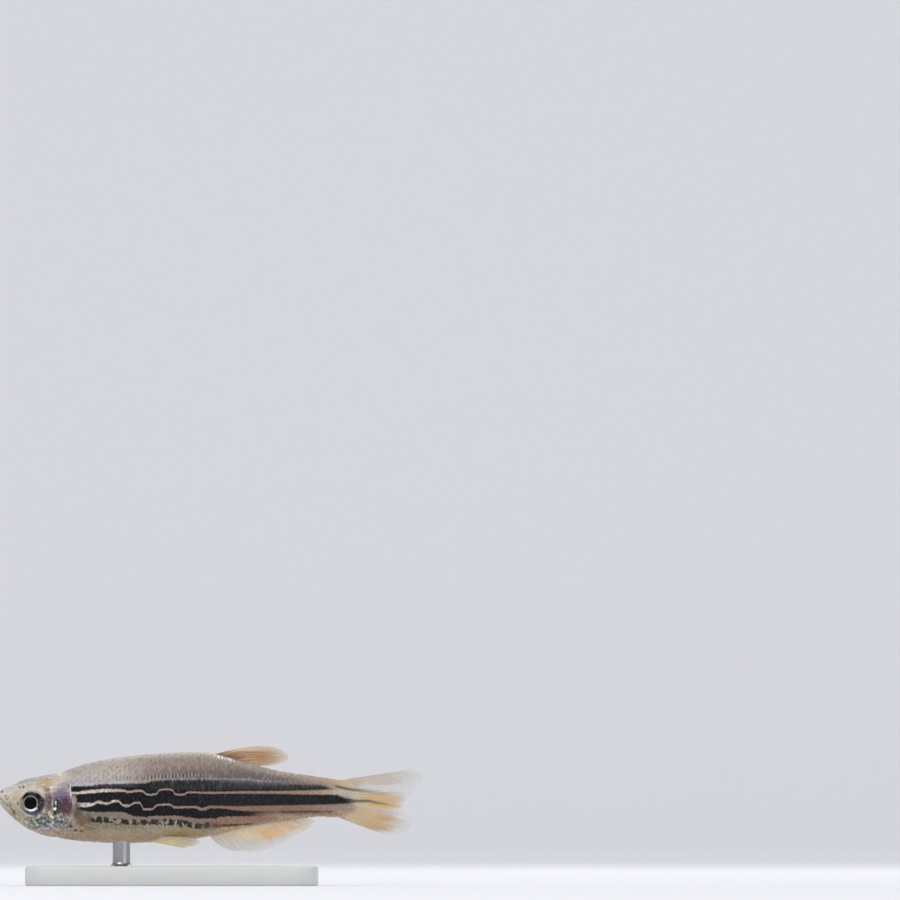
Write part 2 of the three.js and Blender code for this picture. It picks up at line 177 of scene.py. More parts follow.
def stack(rings):
    """Points and faces of a closed form through rings of the same number of points, from the bottom up."""
    count = len(rings[0])
    points = [point for ring in rings for point in ring]
    faces = [tuple(range(count))[::-1], tuple(range(len(points) - count, len(points)))]
    for start in range(0, len(points) - count, count):
        for k in range(count):
            a, b = start + k, start + (k + 1) % count
            faces.append((a, b, b + count, a + count))
    return points, faces


def sheet_faces(shape):
    """Faces of a thin closed sheet over a grid of points, whose far side's points follow the near side's.
    Also a column with 1 for each corner of a face on the far side."""
    index = np.arange(shape[0] * shape[1]).reshape(shape)
    quads = np.stack([index[:-1, :-1], index[1:, :-1], index[1:, 1:], index[:-1, 1:]], -1).reshape(-1, 4)
    edge = np.concatenate([index[:, 0], index[-1, 1:], index[-2::-1, -1], index[0, -2:0:-1]])
    after = np.roll(edge, -1)
    wall = np.stack([edge + index.size, after + index.size, after, edge], -1)
    far = np.repeat([0, 1, 0], [quads.size, quads.size, wall.size])
    return np.concatenate([quads, quads[:, ::-1] + index.size, wall]), far[:, None]


def make_object(name, points, faces, material):
    """A smooth mesh object from points in metres."""
    mesh = bpy.data.meshes.new(name)
    mesh.from_pydata(points, [], [tuple(map(int, face)) for face in faces])
    mesh.polygons.foreach_set("use_smooth", [True] * len(mesh.polygons))
    mesh.materials.append(material)
    thing = bpy.data.objects.new(name, mesh)
    bpy.context.scene.collection.objects.link(thing)
    return thing


def make_piece(name, points, faces, slot, material, uv=None, **values):
    """A piece from points in the fish's frame. uv has a place in the map for each corner of each face, and
    values are numbers at the points that the material reads."""
    piece = make_object(name, in_model(points).tolist(), faces, material)
    mesh = piece.data
    for key, numbers in values.items():
        attribute = mesh.attributes.new(key, "FLOAT", "POINT")
        attribute.data.foreach_set("value", np.asarray(numbers, np.float32).ravel())
    if uv is not None:
        layer = mesh.uv_layers.new(name="OFBake")
        layer.data.foreach_set("uv", np.asarray(uv, np.float32).ravel())
    mesh.validate()
    mesh.set_sharp_from_angle(angle=math.radians(SHARP_ANGLE))
    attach(piece, "root")
    return piece


# The body's surface


def measure(name, s):
    """One measure of the body at s, by a cubic between each pair of stations."""
    at, value = STATIONS[:, 0], STATIONS[:, MEASURES.index(name)]
    order = np.arange(len(at))
    before, after = np.maximum(order - 1, 0), np.minimum(order + 1, len(at) - 1)
    slope = (value[after] - value[before]) / (at[after] - at[before])
    s = np.clip(s, 0, STANDARD_LENGTH)
    i = np.clip(np.searchsorted(at, s, side="right") - 1, 0, len(at) - 2)
    span = at[i + 1] - at[i]
    t = (s - at[i]) / span
    rise = (value[i + 1] - value[i]) * t * t * (3 - 2 * t)
    return value[i] + rise + slope[i] * t * (1 - t) ** 2 * span + slope[i + 1] * t * t * (t - 1) * span


def section(s):
    """Top, bottom, half width, widest level and fullness at s. Past the tail stalk the skin closes."""
    nose = np.sqrt(1 - (1 - np.clip(s / NOSE_LENGTH, 0, 1)) ** 2)
    closing = np.clip((s - STANDARD_LENGTH) / (SKIN_END - STANDARD_LENGTH), 0, 1)
    level = {key: SNOUT_LEVEL + (measure(key, s) - SNOUT_LEVEL) * nose for key in ("back", "belly", "mid")}
    half = measure("half", s) * nose * (1 - 0.8 * closing)
    shrink = 1 - 0.7 * closing**2
    return level["back"] * shrink, level["belly"] * shrink, half, level["mid"], measure("full", s)


def body_point(s, turn):
    """The body's surface at s, turned round it from the right side at 0 over the back."""
    top, bottom, half, mid, full = section(s)
    across, up = np.cos(turn), np.sin(turn)
    y = half * np.sign(across) * np.abs(across) ** (2 / full)
    height = np.where(up > 0, top - mid, mid - bottom)
    z = mid + height * np.sign(up) * np.abs(up) ** (2 / full)
    return np.stack([s + 0 * turn, y, z], -1)


def outward(s, y, z):
    """The direction out of the body at one of its points, square to its length."""
    top, bottom, half, mid, full = section(s)
    height = np.where(z > mid, top - mid, mid - bottom)
    ny = np.sign(y) * (np.abs(y) / half) ** (full - 1) / half
    nz = np.sign(z - mid) * (np.abs(z - mid) / height) ** (full - 1) / height
    length = np.hypot(ny, nz) + 1e-9
    return np.stack([0 * ny, ny / length, nz / length], -1)


def half_width(s, z):
    top, bottom, half, mid, full = section(s)
    share = np.where(z > mid, (z - mid) / (top - mid), (mid - z) / (mid - bottom))
    return half * np.maximum(0, 1 - np.minimum(1, share) ** full) ** (1 / full)


def behind_head(s, z):
    """How far a side-view point lies behind the head's rear edge."""
    edge = smooth_line(HEAD_EDGE, 60)
    return s - np.interp(-z, -edge[:, 1], edge[:, 0])


def mouth_distance(s, z):
    """Distance from the line of the mouth, positive over it."""
    return (z - MOUTH_TIP + MOUTH_DROP * s) / math.hypot(1, MOUTH_DROP)


def relief(s, z):
    """How far the skin stands out of the plain body, from its forms in side view."""
    behind = behind_head(s, z)
    on_gills = blend_step(-4.0, -3.6, z) * blend_step(1.5, 1.0, z)
    in_coat = on_gills * blend_step(-0.03, 0.03, behind) + (1 - on_gills) * blend_step(-0.5, 0.1, behind)
    out = -COAT_DEPTH * in_coat
    out -= 0.14 * bump(behind - 0.05, 0.055) * on_gills
    # gill cover: a raised plate with a soft front and a thin rim behind it
    plate = blend_step(5.2, 6.0, s) * blend_step(0.95, 0.82, z) * blend_step(-0.16, -0.26, behind)
    out += 0.1 * plate * blend_step(-3.5, -3.0, z)
    out -= 0.045 * bump(line_distance(s, z, SUBOPERCLE), 0.05)
    out -= 0.07 * bump(line_distance(s, z, PREOPERCLE), 0.07)
    out += 0.04 * bump(line_distance(s, z, PREOPERCLE) - 0.16, 0.09)
    # eye: a socket with a low rim
    from_eye = np.hypot(s - EYE[0], z - EYE[1])
    out -= 0.5 * blend_step(1.27, 1.16, from_eye)
    out += 0.05 * bump(from_eye - 1.4, 0.09)
    out -= 0.04 * bump(from_eye - 2.0, 0.08) * blend_step(0.6, -0.6, z)
    # mouth: a groove between two lips
    along = blend_step(MOUTH_CORNER + 0.1, MOUTH_CORNER - 0.2, s)
    off = mouth_distance(s, z)
    out -= 0.13 * bump(off, 0.045) * along
    out += 0.07 * bump(np.abs(off) - 0.17, 0.09) * along
    out += 0.05 * bump(line_distance(s, z, ((1.45, -0.35), (1.95, -1.5))), 0.14)
    for place in NOSTRILS:
        around = np.hypot(s - place[0], z - place[1])
        out -= 0.24 * bump(around, 0.11)
        out += 0.05 * bump(around - 0.2, 0.06)
    # throat: folds that run forward under the gill covers
    for level in (-3.35, -3.6, -3.85):
        line = ((3.6, level + 0.5), (5.0, level), (6.4, level + 0.25))
        out -= 0.025 * bump(line_distance(s, z, line), 0.05)
    return out


# Shaders


class Value:
    """A number, vector or colour in a material's node tree. Arithmetic with it adds nodes."""

    def __init__(self, shader, socket):
        self.shader = shader
        self.socket = socket

    def __add__(self, other):
        return self.shader.math("ADD", self, other)

    def __sub__(self, other):
        return self.shader.math("SUBTRACT", self, other)

    def __rsub__(self, other):
        return self.shader.math("SUBTRACT", other, self)

    def __mul__(self, other):
        return self.shader.math("MULTIPLY", self, other)

    def __pow__(self, other):
        return self.shader.math("POWER", self, other)

    def __abs__(self):
        return self.shader.math("ABSOLUTE", self)

    __radd__ = __add__
    __rmul__ = __mul__

    def step(self, low, high):
        """0 at low, 1 at high and smooth between, whichever of the two is larger."""
        return self.shader.node("MapRange", (self, low, high), interpolation_type="SMOOTHSTEP")

    def hill(self, width, soft=0.5):
        """1 near 0, falling to 0 at width on either side."""
        return abs(self).step(width, width * (1 - soft))

    def wave(self, pitch):
        return self.shader.math("SINE", self * (2 * math.pi / pitch))

    def sway(self, size):
        """A noise brought to swing about 0."""
        return (self - 0.5) * size


class Shader:
    """A material's node tree. Its methods take Values, plain numbers, and colours as 0 to 255."""

    def __init__(self, name):
        self.material = bpy.data.materials.new(name)
        self.material.use_nodes = True
        self.tree = self.material.node_tree
        self.surface = self.tree.nodes["Principled BSDF"]

    def put(self, socket, value):
        if isinstance(value, Value):
            self.tree.links.new(value.socket, socket)
        else:
            socket.default_value = linear(value) if isinstance(value, tuple) else value

    def set(self, **inputs):
        for key, value in inputs.items():
            self.put(self.surface.inputs[key.replace("_", " ")], value)

    def node(self, kind, inputs=(), output=0, **settings):
        """One output of a new node. inputs go in the node's order, or by name or number in a dictionary."""
        node = self.tree.nodes.new("ShaderNode" + kind)
        for key, value in settings.items():
            setattr(node, key, value)
        for key, value in inputs.items() if isinstance(inputs, dict) else enumerate(inputs):
            self.put(node.inputs[key], value)
        return Value(self, node.outputs[output])

    def math(self, operation, *values):
        return self.node("Math", values, operation=operation)

    def attribute(self, name):
        return self.node("Attribute", output="Fac", attribute_name=name)

    def place(self):
        """The shaded point in the fish's frame, as (s, y, z)."""
        point = self.node("TexCoord", output="Object")
        x, y, z = (self.node("SeparateXYZ", (point,), axis) * (1 / MM) for axis in range(3))
        return x - SNOUT_X, y, z - AXIS_HEIGHT

    def noise(self, place, scale=1.0, detail=2.0):
        """Soft noise at a place, which is three values."""
        inputs = {"Vector": self.node("CombineXYZ", place), "Scale": scale, "Detail": detail}
        return self.node("TexNoise", inputs, "Fac")

    def cells(self, place, scale):
        """Distance from the nearest of some scattered points."""
        return self.node("TexVoronoi", {"Vector": self.node("CombineXYZ", place), "Scale": scale}, "Distance")

    def curve(self, value, points):
        """A smooth function of value through (value, result) points."""
        at, results = zip(*points)
        reach = at[-1] - at[0]
        low, span = min(results), max(max(results) - min(results), 1e-6)
        share = self.node("FloatCurve", {"Value": (value - at[0]) * (1 / reach)})
        mapping = share.socket.node.mapping
        line = mapping.curves[0]
        spots = [((a - at[0]) / reach, (result - low) / span) for a, result in points]
        line.points[0].location = spots[0]
        line.points[1].location = spots[-1]
        for spot in spots[1:-1]:
            line.points.new(*spot)
        for point in line.points:
            point.handle_type = "AUTO_CLAMPED"
        mapping.update()
        return share * span + low

    def mix(self, share, under, over):
        return self.node("Mix", {0: share, 6: under, 7: over}, 2, data_type="RGBA")

    def paint(self, colour, *layers):
        """colour with layers over it. A layer is its tone, its strength and the (value, low, high) steps
        that bound it."""
        for tone, strength, *bounds in layers:
            for value, low, high in bounds:
                strength = value.step(low, high) * strength
            colour = self.mix(strength, colour, tone)
        return colour

    def relief_from(self, height, strength, distance=0.00005):
        inputs = {"Strength": strength, "Distance": distance, "Height": height}
        self.set(Normal=self.node("Bump", inputs))


# Markings, shared by the skin, the scales and the root of the tail fin

# Upper edge of the dark flank, as (s, z)
FLANK_TOP = [
    (7.7, 1.18), (9.8, 1.29), (10.6, 1.42), (15.3, 1.52), (16.2, 1.72), (20.9, 1.79), (26.0, 1.69),
    (27.2, 1.54), (32.2, 1.44), (34.7, 1.33), (36.6, 1.15),
]
# Lower edge of the dark flank
FLANK_BOTTOM = [
    (7.7, -1.2), (11.0, -1.46), (12.3, -1.44), (13.4, -1.62), (15.4, -1.95), (16.8, -1.83), (19.5, -1.95),
    (21.0, -2.14), (22.3, -2.14), (23.0, -1.97), (28.8, -1.83), (31.1, -1.64), (34.2, -1.56), (36.6, -1.5),
]
# The two pale lines that part the dark flank into three stripes, as (s, z, half width)
PALE_LINE_1 = [
    (7.7, 0.5, 0.13), (8.9, 0.57, 0.18), (10.1, 0.7, 0.2), (12.2, 0.78, 0.19), (13.2, 0.75, 0.15),
    (13.6, 0.63, 0.13), (14.6, 0.74, 0.13), (15.1, 0.66, 0.12), (15.9, 0.33, 0.11), (16.6, 0.64, 0.11),
    (17.0, 0.86, 0.1), (17.8, 0.88, 0.1), (18.3, 0.42, 0.12), (19.1, 0.35, 0.12), (19.8, 0.58, 0.12),
    (21.9, 0.53, 0.12), (26.0, 0.57, 0.15), (28.8, 0.57, 0.17), (31.7, 0.57, 0.24), (34.7, 0.6, 0.32),
    (35.8, 0.44, 0.5), (36.6, 0.34, 0.52),
]
PALE_LINE_2 = [
    (7.7, -0.5, 0.16), (9.0, -0.72, 0.25), (10.0, -0.64, 0.17), (10.5, -0.43, 0.17), (11.3, -0.58, 0.14),
    (12.2, -0.31, 0.14), (12.7, -0.43, 0.13), (13.4, -0.8, 0.13), (14.5, -0.47, 0.12), (15.1, -1.13, 0.12),
    (15.8, -1.17, 0.12), (16.4, -0.78, 0.12), (17.7, -0.67, 0.12), (18.4, -0.98, 0.13), (20.3, -0.93, 0.13),
    (21.1, -1.15, 0.19), (22.1, -0.93, 0.16), (26.0, -1.09, 0.29), (30.1, -1.03, 0.3), (34.7, -0.97, 0.36),
    (36.6, -0.94, 0.46),
]
# Middle of the row of blotches under the stripes
BLOTCH_ROW = [
    (9.3, -1.95), (10.7, -2.28), (11.8, -2.24), (12.7, -2.45), (18.3, -2.5), (21.0, -2.86), (27.0, -2.62),
]
BLOTCH_PITCH = 0.93
# Colours along the two pale lines, from s onwards
LINE_TONES_1 = [
    (7.7, (212, 200, 182)), (10.5, (214, 204, 188)), (14.0, (172, 146, 132)), (21.0, (156, 120, 108)),
    (27.0, (150, 117, 102)), (32.0, (163, 128, 104)), (35.2, (184, 178, 162)),
]
LINE_TONES_2 = [
    (8.2, (176, 172, 172)), (9.2, (196, 196, 192)), (10.6, (186, 166, 156)), (19.5, (160, 132, 122)),
    (23.0, (148, 114, 94)), (30.0, (140, 108, 86)), (35.2, (154, 134, 122)),
]
# Marks on the head, shoulder and belly: s, z, reach along, reach up, colour, strength
MARKS = [
    (1.5, 0.6, 1.8, 1.2, (206, 198, 186), 0.8),
    (3.2, 2.0, 2.6, 0.4, (150, 142, 126), 0.5),
    (1.9, -1.9, 1.7, 1.1, (160, 150, 118), 0.7),
    (0.55, 0.66, 0.2, 0.16, (54, 50, 52), 0.75),
    (2.1, 0.1, 0.6, 0.8, (180, 168, 122), 0.7),
    (2.2, -0.56, 0.17, 0.24, (60, 56, 44), 0.8),
    (1.4, -0.57, 0.14, 0.5, (96, 86, 78), 0.6),
    (1.8, -1.44, 0.22, 0.36, (74, 60, 44), 0.7),
    (2.35, 1.12, 0.13, 0.12, (84, 74, 66), 0.6),
    (2.76, 1.14, 0.14, 0.11, (84, 74, 66), 0.6),
    (5.04, 1.52, 1.15, 0.68, (184, 152, 108), 0.85),
    # A painted shadow: the brown mark just above and behind the eye
    (5.14, 0.95, 0.5, 0.4, (142, 104, 76), 0.85),
    (5.65, 1.06, 0.34, 0.15, (238, 210, 190), 0.85),
    (6.84, 2.16, 1.0, 0.65, (204, 194, 176), 0.75),
    (6.9, 1.25, 0.9, 0.38, (150, 134, 136), 0.8),
    (7.42, 1.18, 0.11, 0.3, (70, 60, 66), 0.8),
    (5.32, -0.5, 0.6, 1.3, (80, 54, 56), 0.9),
    (5.05, 0.0, 0.28, 0.6, (98, 70, 86), 0.7),
    (6.8, -0.45, 1.25, 1.7, (108, 88, 104), 0.9),
    (6.55, 0.35, 1.05, 0.6, (122, 106, 130), 0.95),
    (6.95, -0.95, 1.15, 1.35, (68, 48, 60), 0.95),
    (7.35, -1.1, 0.55, 0.95, (88, 38, 60), 0.75),
    (6.4, 0.08, 0.95, 0.13, (92, 68, 98), 0.7),
    (8.0, -0.25, 0.3, 0.8, (196, 178, 176), 0.6),
    (7.95, 0.52, 0.3, 0.16, (226, 178, 156), 0.8),
    (8.3, -0.8, 0.5, 0.45, (108, 98, 96), 0.8),
    (8.35, -1.6, 0.6, 0.75, (84, 76, 72), 0.85),
    (4.45, -2.3, 1.7, 0.95, (98, 104, 102), 0.85),
    (4.8, -2.57, 0.6, 0.26, (52, 112, 104), 0.75),
    (5.5, -2.95, 0.8, 0.6, (134, 132, 158), 0.8),
    (6.75, -2.6, 1.2, 0.95, (122, 120, 126), 0.85),
    (7.05, -3.62, 2.8, 0.45, (190, 152, 132), 0.8),
    (8.85, -2.3, 1.0, 0.75, (118, 94, 66), 0.85),
    (9.5, -3.05, 0.8, 0.42, (136, 120, 80), 0.75),
    (7.64, -2.88, 0.26, 0.27, (22, 18, 22), 0.95),
    (8.12, -3.32, 0.3, 0.16, (92, 52, 42), 0.85),
    (8.73, -3.39, 0.32, 0.15, (92, 58, 42), 0.8),
    (12.4, -4.1, 1.0, 0.4, (184, 140, 124), 0.6),
    (15.1, -4.1, 1.2, 0.4, (182, 138, 122), 0.6),
    (19.0, -3.6, 2.8, 0.65, (174, 154, 108), 0.6),
]
# Painted highlights on the gill cover: bright glints of light, painted as spots
PAINTED_GLINTS = [
    (6.0, -1.12, 0.2, 0.22, (248, 248, 250), 1.0),
    (6.1, -0.45, 0.12, 0.22, (206, 208, 214), 0.9),
    (6.12, -0.75, 0.1, 0.12, (150, 160, 166), 0.9),
    (5.48, -1.58, 0.13, 0.27, (222, 212, 140), 0.85),
    (5.7, -1.95, 0.2, 0.14, (240, 240, 230), 0.9),
    (5.74, -0.5, 0.07, 0.4, (196, 186, 184), 0.6),
]
# The two dark lines that run on from the stripes into the tail fin: (s, z) points, colour, and where it ends
TAIL_LINES = [
    ([(34.7, 1.24), (35.6, 1.03), (36.4, 0.87), (37.5, 0.76), (39.0, 0.58), (41.0, 0.3)], (96, 82, 66), 40.4),
    ([(36.2, -0.33), (38.0, -0.31), (38.96, -0.48), (40.35, -0.68), (41.3, -0.9)], (86, 64, 42), 42.2),
]


def oval(s, z, place, ragged, core=0.2):
    """1 in the middle of a soft oval with a ragged edge. place is its middle and its reach."""
    at_s, at_z, reach_s, reach_z = place
    far = ((s - at_s) * (1 / reach_s)) ** 2.0 + ((z - at_z) * (1 / reach_z)) ** 2.0
    return (far + ragged).step(1.0, core)


def with_marks(sh, s, z, colour, marks, ragged):
    """colour with ragged ovals of other colours on it."""
    for *place, tone, strength in marks:
        colour = sh.mix(oval(s, z, place, ragged) * strength, colour, tone)
    return colour


def tone_along(sh, s, tones):
    """A colour that changes along the body, from a list of (s, colour)."""
    layers = [(after, 1.0, (s, start, stop)) for (start, before), (stop, after) in zip(tones, tones[1:])]
    return sh.paint(tones[0][1], *layers)


def stripe_colour(sh, at):
    """The dark of the stripes, turning from blue to green and brown along them, with upright streaks."""
    s, z, hatch = at.s, at.z, at.hatch
    wander = sh.noise((s * 0.9, 0.0, z * 2.2))
    return sh.paint(
        (10, 13, 22),
        ((10, 22, 18), 1.0, (wander, 0.4, 0.62)),
        ((40, 30, 24), 0.6, (wander, 0.56, 0.7)),
        ((84, 80, 84), 0.5, (s, 8.4, 9.6), (s, 15.5, 13.5), (z, 0.95, 1.3)),
        ((62, 64, 60), 0.45, (s, 14.0, 18.0), (z, 0.6, 1.1)),
        ((44, 46, 48), 0.3, (s, 18.0, 26.0)),
        ((76, 80, 88), 0.6, (s, 21.0, 26.0), (z, 0.85, 1.5)),
        ((86, 92, 88), 0.5, (hatch, 0.54, 0.72), (z, -1.2, 1.4)),
        ((4, 5, 7), 0.6, (hatch, 0.46, 0.3)),
    )


def pale_line(sh, s, z, line, edge, teeth):
    """1 on a wavy pale line. teeth are cut into its upper edge."""
    middle, half = (sh.curve(s, [(row[0], row[k]) for row in line]) for k in (1, 2))
    high = z - middle
    off = abs(high) + edge + high.step(0.0, 0.08) * teeth
    return off.step(half * 1.2, half * 0.5)


def tail_lines(sh, s, z, colour):
    """colour with the tail's dark lines on it, and how strongly they lie there."""
    total = 0.0
    for line, tone, reach in TAIL_LINES:
        start = line[0][0]
        share = (z - sh.curve(s, line)).hill(0.24, 0.8)
        share = share * s.step(start - 0.2, start + 0.3) * s.step(reach, reach - 4.5)
        colour = sh.mix(share * 0.85, colour, tone)
        total = total + share
    return colour, total


def back_and_belly(sh, at):
    """The body's plain colour, as it is without stripes, with a painted highlight along the top of the back.
    """
    back = sh.paint(
        (190, 178, 172),
        ((186, 178, 166), 1.0, (at.cloud, 0.38, 0.62)),
        ((152, 136, 126), 1.0, (at.s, 11.0, 17.0)),
        ((184, 152, 142), 0.35, (at.speck, 0.52, 0.68)),
        ((128, 122, 104), 0.35, (at.speck, 0.48, 0.34)),
        ((94, 86, 88), 0.85, (at.over, 2.2, 0.3), (at.s, 13.0, 20.0)),
        # Painted highlight: lighter along the very top of the back, where light from above falls
        ((180, 168, 156), 0.8, (at.from_top, 0.9, 0.1)),
        ((172, 160, 170), 0.7, (at.s, 11.5, 8.0), (at.z, 3.4, 1.6)),
        ((198, 186, 178), 0.26, (at.hatch, 0.5, 0.72)),
        ((98, 86, 84), 0.3, (at.hatch, 0.5, 0.3)),
        ((186, 158, 132), 0.58, (at.s, 28.5, 34.5)),
    )
    belly = sh.paint(
        (176, 160, 136),
        ((190, 172, 146), 1.0, (at.cloud, 0.4, 0.6)),
        ((138, 122, 104), 0.6, (at.z, -3.6, -2.7)),
        ((182, 150, 122), 0.85, (at.s, 20.0, 27.0)),
        ((126, 112, 98), 0.35, (at.hatch, 0.47, 0.33)),
        ((226, 206, 184), 0.6, (at.from_bottom, 0.45, 0.0)),
        ((172, 180, 162), 0.5, (at.hatch, 0.5, 0.62), (at.z, -3.5, -2.7), (at.s, 20.5, 17.5)),
    )
    return sh.mix(at.z.step(-0.6, 0.6), belly, back)


def beside_stripes(sh, at, colour):
    """A gleam, a crest and a haze over the dark flank, and a pale shelf under it."""
    s, over, fine = at.s, at.over, at.fine
    gleam = (over - (fine - 0.34) * 0.8).hill(0.17)
    gleam_tone = tone_along(sh, s, ((12.5, (188, 194, 200)), (14.5, (158, 162, 140))))
    crest = (over - 0.2).hill(0.16, 0.8)
    haze = (over - 0.3).hill(0.5, 0.8)
    shelf_tone = sh.paint(
        (128, 124, 112),
        ((146, 122, 112), 1.0, (s, 11.0, 14.0)),
        ((160, 124, 108), 1.0, (s, 20.5, 23.5)),
    )
    return sh.paint(
        colour,
        (gleam_tone, gleam, (s, 7.4, 8.0), (s, 18.0, 12.0), (fine, 0.34, 0.5)),
        ((176, 164, 158), crest * 0.5, (s, 14.0, 16.0), (s, 31.0, 27.0), (fine, 0.36, 0.5)),
        ((170, 164, 176), haze * 0.45, (s, 14.0, 10.0)),
        (shelf_tone, 0.85, (at.under, -0.1, 0.05), (at.under, 0.8, 0.3), (s, 8.2, 8.8)),
    )


def under_stripes(sh, at, colour):
    """Blotches parted by pale upright streaks, painted shade and a thin line over the anal fin, and the tail
    stalk's end.
    """
    s, z, hatch = at.s, at.z, at.hatch
    row = z - sh.curve(s, BLOTCH_ROW)
    uneven_row = row + (sh.noise((s * 1.2, 3.0, z * 0.8)).sway(0.9) + at.speck.sway(0.3))
    broken = sh.noise((s * 1.9, 0.0, z * 1.5), 1.0, 1.0) + s.wave(BLOTCH_PITCH) * 0.1
    thread = (row + at.speck.sway(0.2)).hill(0.12)
    along = ((s, 9.0, 9.7), (s, 24.5, 21.5))
    blotch_tone = sh.paint(
        (14, 26, 20),
        ((32, 24, 20), 1.0, (at.cloud, 0.42, 0.58)),
        ((96, 108, 92), 0.4, (hatch, 0.54, 0.66)),
    )
    fin_tone = sh.mix(z.step(-0.6, 0.6), (172, 150, 130), (198, 180, 150))
    return sh.paint(
        colour,
        ((164, 174, 158), (row + 0.25).hill(0.6, 0.6) * 0.45, (hatch, 0.5, 0.62), *along),
        (blotch_tone, uneven_row.hill(0.42) * 0.95, (broken, 0.38, 0.5), *along),
        # Painted shade: a dark olive band just above the anal fin's root
        ((98, 84, 62), (row + 0.12).hill(0.42, 0.9) * 0.6, (s, 20.0, 21.5), (s, 26.0, 24.0)),
        ((222, 200, 160), 0.8, (row + at.speck.sway(0.3), -0.08, -0.3), (s, 21.0, 24.0)),
        ((206, 184, 148), 0.7, (z, -1.68, -1.9), (s, 27.0, 30.0)),
        ((70, 56, 42), thread * 0.85, (s, 22.0, 23.5), (s, 27.5, 25.5), (at.cloud, 0.3, 0.5)),
        (fin_tone, 0.85, (s, 33.8, 35.8)),
    )


def stripes(sh, at, colour):
    """colour under the dark flank with its two pale lines and the tail's lines, and how dark it is there."""
    s, z, fine = at.s, at.z, at.fine
    front = (s + z * 0.33).step(7.7, 8.0)
    end = (s + abs(z + 0.3) * 2.2).step(37.5, 36.7)
    soft = 0.07 + s.step(13.0, 17.0) * 0.07
    inner = -0.1 - s.step(21.0, 26.0) * 0.16
    dark = (at.over + at.ragged).step(soft, inner) * (at.under + at.ragged).step(0.07, -0.09)
    # on the tail stalk the lowest stripe is worn down to dashes
    rear = s.step(25.5, 29.0) * z.step(-0.7, -0.95)
    dash = (z + 1.42 + fine.sway(0.3)).hill(0.3, 0.8) * (0.5 + at.cloud.step(0.35, 0.55) * 0.5)
    worn = rear * (1 - dash * 0.9)
    dark = dark * (1 - worn * 0.9) * front * end
    night = sh.mix(rear * 0.8, stripe_colour(sh, at), (88, 70, 60))
    colour = sh.mix(dark, colour, night)
    teeth = fine.step(0.5, 0.66) * s.step(14.5, 13.0) * 0.16
    upper = (PALE_LINE_1, LINE_TONES_1, 0.45, teeth, 0.45)
    lower = (PALE_LINE_2, LINE_TONES_2, 0.6, 0.0, 0.2)
    for line, tones, ragged, cut, light in (upper, lower):
        tone = sh.paint(
            tone_along(sh, s, tones),
            ((132, 102, 92), 0.4, (fine, 0.5, 0.36)),
            ((206, 182, 170), light, (at.speck, 0.5, 0.64)),
            ((244, 238, 224), 0.6, (fine, 0.5, 0.6), (s, 14.5, 12.5)),
        )
        edge = at.ragged * ragged + at.speck.sway(0.22)
        colour = sh.mix(pale_line(sh, s, z, line, edge, cut) * front * 0.95, colour, tone)
    return tail_lines(sh, s, z, colour)[0], dark


def ticks(sh, at, colour):
    """A row of ticks over the stripes, one or two on each scale, rose streaks low on the rear flank, and a
    painted highlight under the dorsal fin."""
    s, z, fine = at.s, at.z, at.fine
    tick = s.wave(0.4 * SCALE_PITCH) + fine.sway(2.0)
    on_row = (z - (1.61 + s * 0.036) + at.speck.sway(0.45)).hill(0.27)
    on_row = on_row * s.step(10.5, 14.5) * s.step(23.5, 21.0)
    # Painted highlight: white glints of light on the back just under the dorsal fin
    gleam = (at.from_top - 0.28).hill(0.2) * (s - 23.35).hill(1.3)
    return sh.paint(
        colour,
        ((62, 50, 58), on_row * 0.8, (tick, 0.3, 0.9), (at.cloud, 0.36, 0.46)),
        ((204, 192, 186), on_row * 0.3, (tick, -0.2, -0.8)),
        ((120, 84, 72), (1 - at.dark) * 0.4, (fine, 0.52, 0.38), (s, 20.0, 23.0), (z, -1.0, -1.3)),
        # the painted highlight under the dorsal fin
        ((248, 242, 236), gleam, (fine, 0.48, 0.58)),
    )


